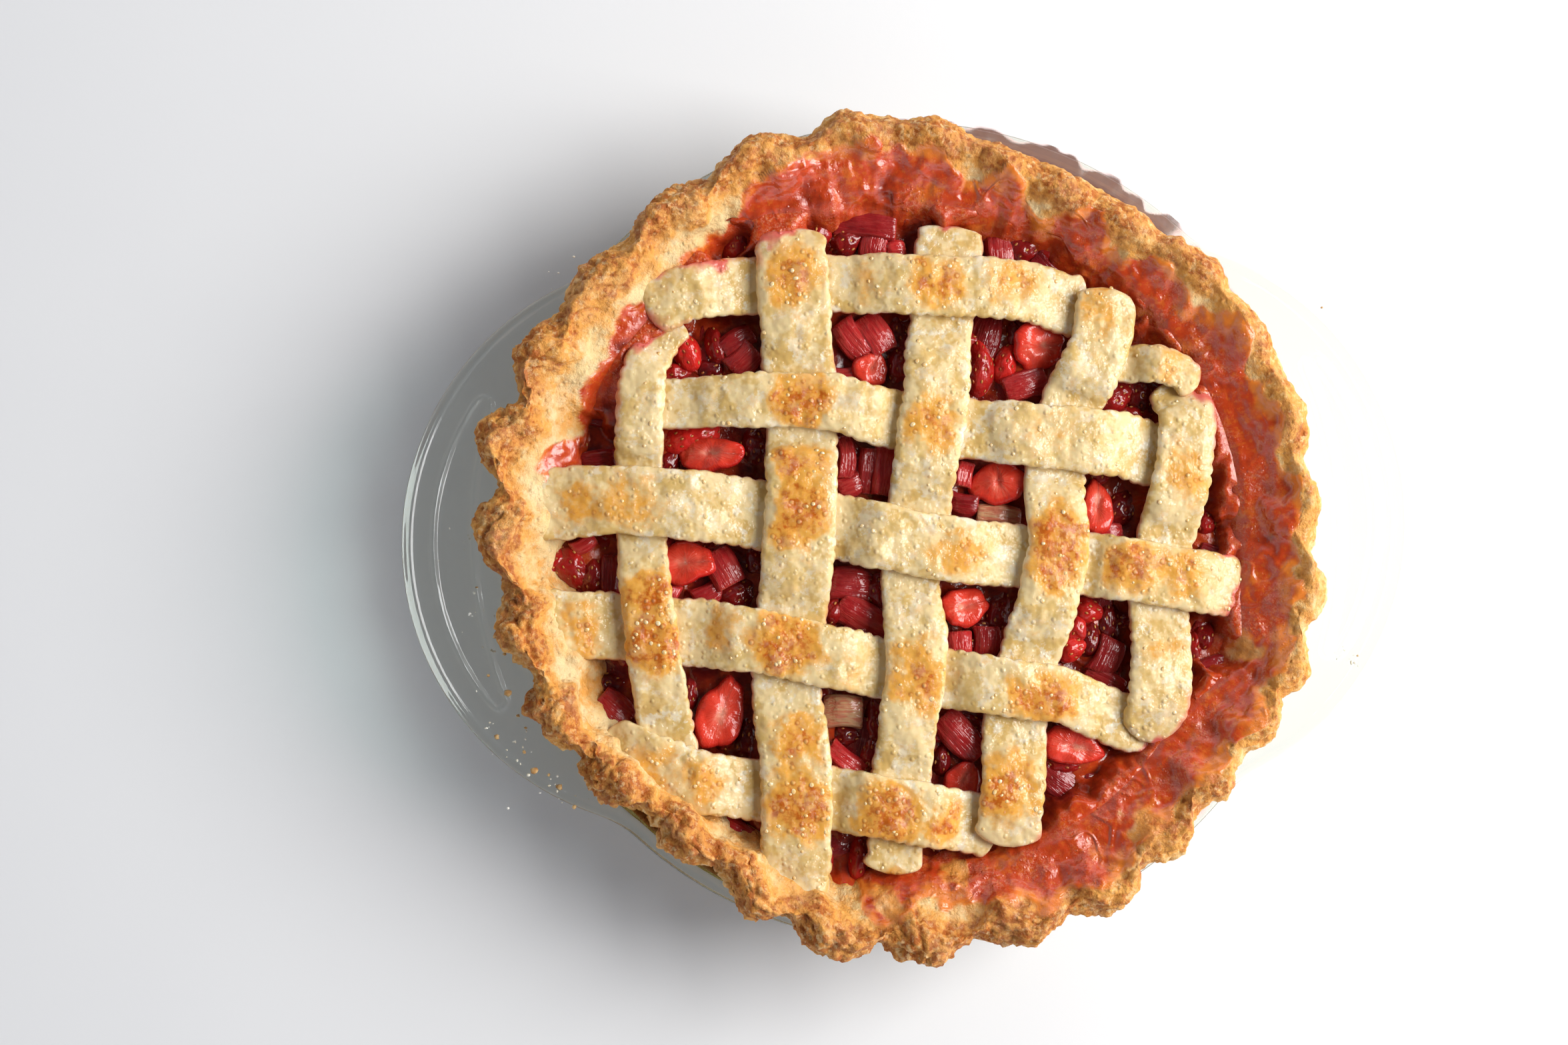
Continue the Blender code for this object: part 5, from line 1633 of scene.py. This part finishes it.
@dataclass
class Filling:
    """The strawberry and rhubarb pieces that show in the gaps, and the ones below them, drawn darker, partly as
    painted shade under the lattice.
    """

    fruit_depth: float = 0.0048
    below_pitch: float = 0.015
    below_reach: float = 0.107
    below_tops: tuple[float, float] = (0.0066, 0.009)
    below_lengths: tuple[float, float] = (0.012, 0.019)
    below_slimness: tuple[float, float] = (0.55, 0.75)
    # The lower fruit's tones are kept dark: partly its own colour, partly painted shade under the lattice.
    below_shaded_tones: tuple[float, float] = (0.05, 0.4)
    below_wander: float = 0.004
    below_tilt: float = 0.25
    cut_tilt: float = 0.3
    whole_tilt: float = 0.16
    look_round: float = 0.006
    seed_size: tuple[float, float, float] = (0.00058, 0.00036, 0.00024)
    # What each piece is, then millimetres east and north, its turn in degrees, its length and
    # width, how far it stands up, and how light it is: 0 is dark, and rhubarb above 1 is beige.
    pieces: tuple = (
        (SEEDED, -47, 90, 100, 16, 12, 0, 0.35), (RHUBARB, -9, 94, -8, 19, 9, 0.5, 0.38),
        (SEEDED, -15, 89, 20, 12, 10, -0.6, 0.15), (RHUBARB, -7, 87, 75, 9, 9, 0, 0.55),
        (RHUBARB, 0, 85, 10, 6, 6, 0.3, 0.95), (SEEDED, -22, 93, 80, 11, 9, 0, 0.5),
        (RHUBARB, 32, 84, 88, 9, 9, 0, 0.6), (SEEDED, 40, 85, 30, 13, 12, 0.4, 0.22),
        (SEEDED, 47, 84, 70, 11, 10, 0, 0.6), (RHUBARB, -94, 26, 5, 11, 6, -0.3, 0.22),
        (SEEDED, -99, 34, 80, 12, 9, -0.5, 0.4), (SEEDED, -65, 58, 108, 14, 9, 0.8, 1),
        (SEEDED, -56, 59, 100, 13, 7, -0.4, 0.35), (RHUBARB, -50, 60, 30, 11, 7, 0, 0.42),
        (RHUBARB, -48, 53, 40, 10, 9, 0.3, 0.6), (SEEDED, -69, 51, 10, 12, 8, -0.8, 0.5),
        (SEEDED, -58, 51, 20, 9, 8, -2, 0.05), (RHUBARB, -16, 58, -57, 13, 8, 0, 0.75),
        (RHUBARB, -8, 60, -62, 13, 9, 0.4, 0.9), (CUT, -10, 49, 60, 11, 11, 0, 0.7),
        (RHUBARB, -18, 47, 2, 9, 6, 0, 0.6), (SEEDED, -2, 50, 85, 13, 8, -1.2, 0.3),
        (SEEDED, -1, 59, 85, 12, 8, -2, 0.08), (SEEDED, 24, 50, 85, 22, 10, 0.6, 0.55),
        (SEEDED, 31, 48, 75, 13, 8, 0, 1), (RHUBARB, 37, 42, 15, 14, 9, 0, 0.6),
        (CUT, 42, 53, 8, 17, 15, 0.3, 1), (SEEDED, 35, 57, 90, 8, 5, -1.5, 0.1),
        (SEEDED, 65, 37, 20, 15, 12, 0.2, 0.28), (SEEDED, 72, 37, 80, 12, 9, -0.8, 0.08),
        (SEEDED, 68, 31, 0, 16, 7, -0.4, 0.4), (SEEDED, -66, 31, 12, 21, 12, 0.3, 1),
        (CUT, -60, 26, -4, 20, 11, 0.8, 1), (SEEDED, -46, 27, 85, 14, 9, -1, 0.1),
        (SEEDED, -72, 24, 60, 10, 7, -1.5, 0.15), (RHUBARB, -19, 23, 88, 13, 6, 0.2, 0.6),
        (RHUBARB, -13, 18, 84, 14, 6, -0.5, 0.5), (RHUBARB, -8, 18, 80, 15, 7, 0.7, 0.95),
        (RHUBARB, -18, 14, 20, 9, 7, -0.8, 0.7), (RHUBARB, 16, 16, 75, 8, 6, 0.2, 0.9),
        (CUT, 26, 13, 90, 13, 17, 0.3, 1), (RHUBARB, 15, 6, -10, 9, 7, 0, 0.35),
        (RHUBARB, 26, 3, -8, 14, 6, 0.3, 1.5), (SEEDED, 24, 7, 0, 16, 5, -1.5, 0.1),
        (CUT, 56, 4, 82, 18, 10, 0.3, 0.75), (SEEDED, 64, 4, 52, 14, 10, -0.6, 0.08),
        (RHUBARB, 59, -4, 5, 10, 6, 0, 0.5), (SEEDED, 90, -3, 70, 9, 7, 0.3, 0.4),
        (RHUBARB, 93, -13, -30, 12, 6, -0.3, 0.3), (SEEDED, -109, -3, 20, 14, 11, 0.2, 0.5),
        (SEEDED, -102, -6, -60, 15, 11, 0.5, 0.5), (SEEDED, -97, -9, 80, 12, 9, 0, 0.35),
        (RHUBARB, -92, -8, 85, 12, 6, -0.5, 0.35), (RHUBARB, -99, 1, 30, 8, 5, 0, 0.9),
        (CUT, -69, -6, 0, 18, 13, 0.3, 0.95), (RHUBARB, -58, -8, -65, 12, 10, 0.4, 0.75),
        (RHUBARB, -63, -16, 25, 9, 7, -0.3, 0.45), (SEEDED, -53, -16, 30, 15, 11, -1, 0.15),
        (RHUBARB, -74, -15, 60, 7, 5, -0.3, 0.8), (SEEDED, -49, -7, 85, 12, 8, -1.5, 0.08),
        (RHUBARB, -20, -15, -10, 13, 10, 0.5, 0.38), (SEEDED, -12, -18, 80, 11, 8, 0, 0.3),
        (SEEDED, -26, -22, 60, 9, 7, 0.2, 0.3), (RHUBARB, -17, -26, -35, 18, 10, 0.3, 0.6),
        (RHUBARB, -18, -31, -35, 12, 6, -0.5, 0.35), (CUT, 14, -24, 15, 16, 12, 0.5, 1.1),
        (SEEDED, 25, -26, 70, 14, 9, -0.8, 0.12), (RHUBARB, 11, -35, 90, 8, 8, 0.2, 0.95),
        (RHUBARB, 20, -35, 85, 9, 8, 0, 0.5), (SEEDED, 18, -30, 0, 14, 5, -2, 0.02),
        (SEEDED, 52, -27, -20, 11, 8, 0.2, 0.75), (SEEDED, 47, -33, 70, 9, 7, 0.3, 0.7),
        (SEEDED, 46, -39, 10, 10, 8, 0.3, 0.85), (SEEDED, 52, -36, 80, 12, 7, -1, 0.05),
        (RHUBARB, 57, -42, 60, 12, 9, 0, 0.35), (RHUBARB, 55, -49, -30, 13, 7, 0, 0.5),
        (SEEDED, 58, -30, 85, 14, 9, -1.6, 0.08), (SEEDED, 88, -37, 60, 9, 7, -0.5, 0.25),
        (RHUBARB, 90, -46, 15, 15, 6, 0.3, 0.35), (SEEDED, 84, -40, 80, 10, 6, -0.5, 0.4),
        (SEEDED, -102, -41, -10, 11, 8, 0.4, 0.55), (RHUBARB, -92, -48, -45, 12, 9, 0, 0.45),
        (SEEDED, -99, -47, -40, 14, 7, -0.3, 0.45), (SEEDED, -93, -41, 10, 10, 7, -2, 0.03),
        (CUT, -61, -51, 66, 21, 14, 0.5, 0.95), (SEEDED, -70, -46, 85, 12, 6, -1, 0.2),
        (SEEDED, -54, -59, 75, 16, 8, -1.6, 0.06), (RHUBARB, -25, -53, -5, 12, 10, 0.5, 1.6),
        (SEEDED, -24, -61, 0, 11, 7, -1, 0.02), (RHUBARB, -25, -68, -40, 13, 7, 0.2, 0.95),
        (SEEDED, -16, -56, 85, 14, 7, -0.8, 0.25), (SEEDED, -17, -67, 80, 13, 7, -0.6, 0.35),
        (RHUBARB, 10, -63, -50, 17, 10, 0.4, 0.55), (CUT, 10, -76, 60, 12, 11, 0.2, 0.5),
        (SEEDED, 5, -70, 80, 10, 6, -1.2, 0.1), (CUT, 44, -68, -14, 20, 12, 1.6, 0.9),
        (SEEDED, 41, -73, -14, 18, 8, -0.6, 0.4), (RHUBARB, -58, -87, -35, 14, 7, 0, 0.6),
        (SEEDED, -22, -97, 85, 14, 6, 0.4, 0.5), (SEEDED, -32, -97, 85, 13, 5, 0.4, 0.5),
        (SEEDED, -27, -109, 80, 12, 10, 1, 1.1), (SEEDED, 5, -101, 5, 16, 8, -0.6, 0.3),
    )

    def __post_init__(self) -> None:
        """Starts the stocks that the fruit is gathered in."""
        self.berries, self.slices, self.seeds = Stock(), Stock(), Stock()
        self.draw = np.random.default_rng(28)
        self.count = 0

    def place(self, kind: Fruit, spot: Array, top: float, turn: float, sizes: tuple[float, float],
              tone: float, tilt: float) -> None:
        """Puts one piece of fruit in.

        Args:
            kind: What it is.
            spot: Its plan point.
            top: Height of its highest point.
            turn: Its turn in degrees.
            sizes: Its length and width.
            tone: How light it is.
            tilt: The most that it leans, in radians.
        """
        self.count += 1
        lean = self.draw.uniform(-tilt, tilt, 2)
        turned_by = np.array(Euler((*lean, math.radians(turn))).to_matrix()).T
        place = np.array([*spot, top])
        if kind is RHUBARB:
            points, masks = RhubarbSlice(*sizes, tone, self.count).shape()
            self.slices.add(points @ turned_by + place, grid_faces(*points.shape[:2], False, True), **masks)
            return
        berry = Berry(*sizes, kind is CUT, tone, self.count)
        points, masks, outward = berry.shape()
        faces = grid_faces(*points.shape[:2], True, False)
        self.berries.add(points @ turned_by + place, faces, **masks)
        if not berry.cut:
            self.plant(berry, points @ turned_by + place, outward @ turned_by)

    def shows(self, spot: Array, strips: list[Strip], syrup: Syrup) -> bool:
        """Whether a piece here can be seen, between the strips and clear of the sauce."""
        steps = self.look_round * np.array([(0, 0), (1, 0), (-1, 0), (0, 1), (0, -1)])
        near = spot + steps
        hidden = np.any([strip.covers(near) for strip in strips], axis=0)
        return not (hidden | (syrup.share(near[:, 0], near[:, 1]) > 0.5)).all()

    def plant(self, berry: Berry, points: Array, outward: Array) -> None:
        """Sets the seeds in a berry's skin.

        Args:
            berry: The berry.
            points: Its points where it lies.
            outward: Directions straight out of it.
        """
        ball, faces = small_ball()
        turns, shares = berry.seed_spots()
        rows = np.round(turns / (2 * math.pi) * berry.around).astype(int) % berry.around
        columns = np.round(np.arcsin(shares) / (math.pi / 2) * (berry.rings - 1)).astype(int)
        tip = points[0, berry.rings - 1] - points[berry.around // 2, berry.rings - 1]
        for row, column in zip(rows, columns):
            out = outward[row, max(1, column)]
            side = np.cross(out, tip)
            side = side / np.linalg.norm(side)
            axes = np.stack([np.cross(side, out), side, out])
            size = np.array(self.seed_size) * self.draw.uniform(0.85, 1.15)
            self.seeds.add((ball * size) @ axes + points[row, column] + out * 0.00008, faces)

    def build(self, strips: list[Strip], syrup: Syrup, berry: BerryFinish, rhubarb: RhubarbFinish,
              seed: SpeckFinish) -> None:
        """Makes the fruit.

        Args:
            strips: The woven strips, whose gaps the fruit shows in.
            syrup: The syrup that it lies in.
            berry: The strawberries' finish.
            rhubarb: The rhubarb's finish.
            seed: The seeds' finish.
        """
        for kind, east, north, turn, length, width, rise, tone in self.pieces:
            spot = np.array([east, north]) / 1000
            top = SHAPE.lattice_height(*spot) - self.fruit_depth + rise / 1000
            tilt = self.cut_tilt if kind is CUT else self.whole_tilt
            self.place(kind, spot, top, turn, (length / 1000, width / 1000), tone, tilt)
        side = np.arange(-self.below_reach, self.below_reach, self.below_pitch)
        for x, y in itertools.product(side, side):
            spot = np.array([x, y]) + self.draw.uniform(-self.below_wander, self.below_wander, 2)
            if np.hypot(*spot) > self.below_reach or not self.shows(spot, strips, syrup):
                continue
            top = SHAPE.lattice_height(*spot) - self.draw.uniform(*self.below_tops)
            kind = (RHUBARB, SEEDED)[int(self.draw.integers(2))]
            length = self.draw.uniform(*self.below_lengths)
            sizes = (length, length * self.draw.uniform(*self.below_slimness))
            turn, tone = self.draw.uniform(0, 360), self.draw.uniform(*self.below_shaded_tones)
            self.place(kind, spot, top, turn, sizes, tone, self.below_tilt)
        for name, stock, material in (
            ("strawberries", self.berries, berry.material()),
            ("rhubarb", self.slices, rhubarb.material()),
            ("strawberry_seeds", self.seeds, seed.material()),
        ):
            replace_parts(stock.piece(name, material, Slot.FRUIT, merged=name != "strawberry_seeds"), "filling")


# ---- What the pie has left on its dish ----


@dataclass
class Leavings:
    """Crumbs on the dish's flange, and dried juice beside the crust."""

    # x, y and size in millimetres.
    crumbs: tuple = (
        (-123.5, -41.5, 2.6), (-127.5, -54.2, 1.6), (-117.2, -64.6, 2.4), (-110.1, -69.9, 2.0),
        (-119.8, -59.0, 1.2), (-113.0, -66.2, 1.0), (129.5, 60.8, 0.8), (133.0, -46.0, 0.7),
        (-121.0, -48.3, 1.2), (-129.0, -36.0, 1.0), (-126.0, 4.0, 1.8), (-125.0, -25.0, 0.8),
        (-124.0, -30.0, 1.1), (-119.0, -52.0, 0.9), (-106.0, -76.0, 1.4), (-131.0, -10.0, 0.7),
    )
    # Where flour and sugar have dusted the glass: x, y and spread in millimetres, and how many.
    dusted: tuple = (
        (-128, -22, 6, 26), (-122, -55, 6, 18), (-112, -71, 4, 12), (-134, 2, 5, 10), (131, -46, 4, 8),
        (-104, 78, 5, 6),
    )
    # First and last angle in degrees, inner and outer radius in metres, and how strong.
    films: tuple = (
        (42.0, 92.0, 0.1172, 0.1243, 1.0), (26.0, 43.0, 0.12, 0.1238, 0.65),
        (-64.0, -42.0, 0.12, 0.1234, 0.45), (104.0, 128.0, 0.1205, 0.1234, 0.35),
    )

    film_columns: int = 160
    film_rows: int = 14
    film_fade: float = 0.12

    def build(self, crumb: SpeckFinish, flour: SpeckFinish, stain: StainFinish) -> None:
        """Makes the crumbs, the dusting and the films.

        Args:
            crumb: The crumbs' finish.
            flour: The dusting's finish.
            stain: The juice's finish.
        """
        draw = np.random.default_rng(3)
        bits = Stock()
        ball, faces = small_ball()
        for x, y, size in self.crumbs:
            rough = ball * draw.uniform(0.7, 1.2, (len(ball), 1)) * size / 2000
            rough = rough * (1, 1, 0.7)
            bits.add(rough + (x / 1000, y / 1000, SHAPE.dish_height + 0.3 * size / 1000), faces)
        bits.piece("crumbs", crumb.material(), Slot.PASTRY)
        dust = Stock()
        for x, y, spread, count in self.dusted:
            for _ in range(count):
                east, north = (x, y) + draw.normal(0.0, spread, 2)
                flake = ball * draw.uniform(0.00016, 0.0005) * (*draw.uniform(0.5, 1.4, 2), 0.35)
                dust.add(flake + (east / 1000, north / 1000, SHAPE.dish_height + 0.0001), faces)
        dust.piece("flour_dust", flour.material(), Slot.PASTRY)
        film = Stock()
        for first, last, inside, outside, strength in self.films:
            turn = np.radians(np.linspace(first, last, self.film_columns))[:, None]
            share = np.linspace(0, 1, self.film_rows)[None, :]
            radius = inside + (outside - inside) * share
            points = joined(radius * np.cos(turn), radius * np.sin(turn), SHAPE.dish_height + 0.00008)
            along = np.linspace(0, 1, self.film_columns)[:, None]
            amount = strength * (1 - ease(strength - 0.25, 1.0, share + 0.4 * RELIEF.noise(points, 0.006)))
            amount = amount * ease(0, self.film_fade, along) * (1 - ease(1 - self.film_fade, 1.0, along))
            film.add(points, grid_faces(*points.shape[:2], False, False), amount=amount)
        film.piece("dried_juice", stain.material(), Slot.FRUIT)


# ---- Studio ----


@dataclass
class Studio:
    """The white surface, the soft light and the camera."""

    floor_half: float = 3.0
    floor_drop: float = 0.0001
    sky: Colour = (0.9, 0.93, 1.0)
    walls: float = 2.2
    ceiling: float = 0.03
    window_side: float = 0.35
    camera_place: tuple[float, float, float] = (-0.0964, -0.0262, 0.6902)
    camera_turn: tuple[float, float, float] = (2.97, -4.88, -3.41)
    focal_length: float = 50.0
    sensor: float = 36.0

    def floor(self, finish: FloorFinish) -> None:
        """Lays the floor, which isn't part of the pie."""
        mesh = bpy.data.meshes.new("floor")
        corners = [(x * self.floor_half, y * self.floor_half, -self.floor_drop)
                   for x, y in ((-1, -1), (1, -1), (1, 1), (-1, 1))]
        mesh.from_pydata(corners, [], [(0, 1, 2, 3)])
        mesh.materials.append(finish.material())
        floor = bpy.data.objects.new("floor", mesh)
        bpy.context.scene.collection.objects.link(floor)

    def lamp(self, name: str, place: tuple[float, float, float], size: float, power: float,
             colour: Colour) -> None:
        """Hangs a square soft light that faces the pie.

        Args:
            name: Its name.
            place: Where it hangs.
            size: Its width.
            power: Its watts.
            colour: Its colour.
        """
        light = bpy.data.lights.new(name, "AREA")
        light.size, light.energy, light.color = size, power, colour
        lamp = bpy.data.objects.new(name, light)
        lamp.location = place
        lamp.rotation_euler = (-Vector(place)).to_track_quat("-Z", "Y").to_euler()
        bpy.context.scene.collection.objects.link(lamp)

    def build(self) -> None:
        """Sets up the floor, the lights and the camera."""
        self.floor(FloorFinish("white_surface", roughness=0.6))
        scene = bpy.context.scene
        world = bpy.data.worlds.new("pale_room")
        world.use_nodes = True
        net = Net(world.node_tree)
        way = net.add("SeparateXYZ", {0: net.places.node.outputs["Generated"]}).outputs
        low = net.add("MapRange", {0: way[2], 1: 0.0, 2: 1.0, 3: 1.0, 4: 0.0}).outputs[0]
        light = net.times(net.math("POWER", low, 2.0), self.walls, self.ceiling)
        strength = net.times(light, net.times(way[0], self.window_side, 1.0))
        net.feed(world.node_tree.nodes["Background"], {"Color": self.sky, "Strength": strength})
        scene.world = world
        self.lamp("window", (0.9, 0.1, 0.85), 0.8, 21.0, (1.0, 0.99, 0.97))
        scene.view_settings.view_transform = "Standard"
        lens = bpy.data.cameras.new("camera")
        lens.lens, lens.sensor_width = self.focal_length, self.sensor
        camera = bpy.data.objects.new("camera", lens)
        camera.location = self.camera_place
        camera.rotation_euler = [math.radians(turn) for turn in self.camera_turn]
        scene.collection.objects.link(camera)
        scene.camera = camera


def main() -> None:
    """Builds the pie piece by piece."""
    logging.basicConfig(level=logging.INFO, format="%(message)s")
    effects = Effects()
    Studio().build()
    Dish().build(GlassFinish("clear_glass", roughness=0.02, ior=1.5))
    syrup, lattice = Syrup(), Lattice()
    strips = lattice.weave()
    soft = {"specular": 0.1, "subsurface_reach": 0.002}
    crust = CrustFinish("shortcrust", roughness=0.62, coat_roughness=0.16, specular=0.3, subsurface=0.12,
                        subsurface_reach=0.0015, effects=effects)
    PastryCase().build(crust, syrup)
    syrup.build(strips, SyrupFinish("syrup", subsurface=0.25, effects=effects, **soft))
    seeds = SpeckFinish("seeds", 0.35, light=(0.62, 0.3, 0.08), dark=(0.4, 0.07, 0.02))
    Filling().build(strips, syrup, BerryFinish("strawberry", subsurface=0.3, **soft),
                    RhubarbFinish("rhubarb", subsurface=0.3, **soft), seeds)
    dough = DoughFinish("dough", coat_roughness=0.1, specular=0.12, subsurface=0.2,
                        subsurface_reach=0.002, effects=effects)
    sugar = SpeckFinish("sugar", 0.22, light=(0.86, 0.66, 0.36), dark=(0.8, 0.48, 0.16), coat=1.0)
    lattice.build(strips, dough, sugar, syrup)
    Leavings().build(SpeckFinish("crumbs", 0.8, light=(0.75, 0.52, 0.24), dark=(0.5, 0.24, 0.07)),
                     SpeckFinish("flour", 0.8, light=(0.86, 0.84, 0.78), dark=(0.74, 0.66, 0.52)),
                     StainFinish("dried_juice", 0.25))


if __name__ == "__main__":
    main()
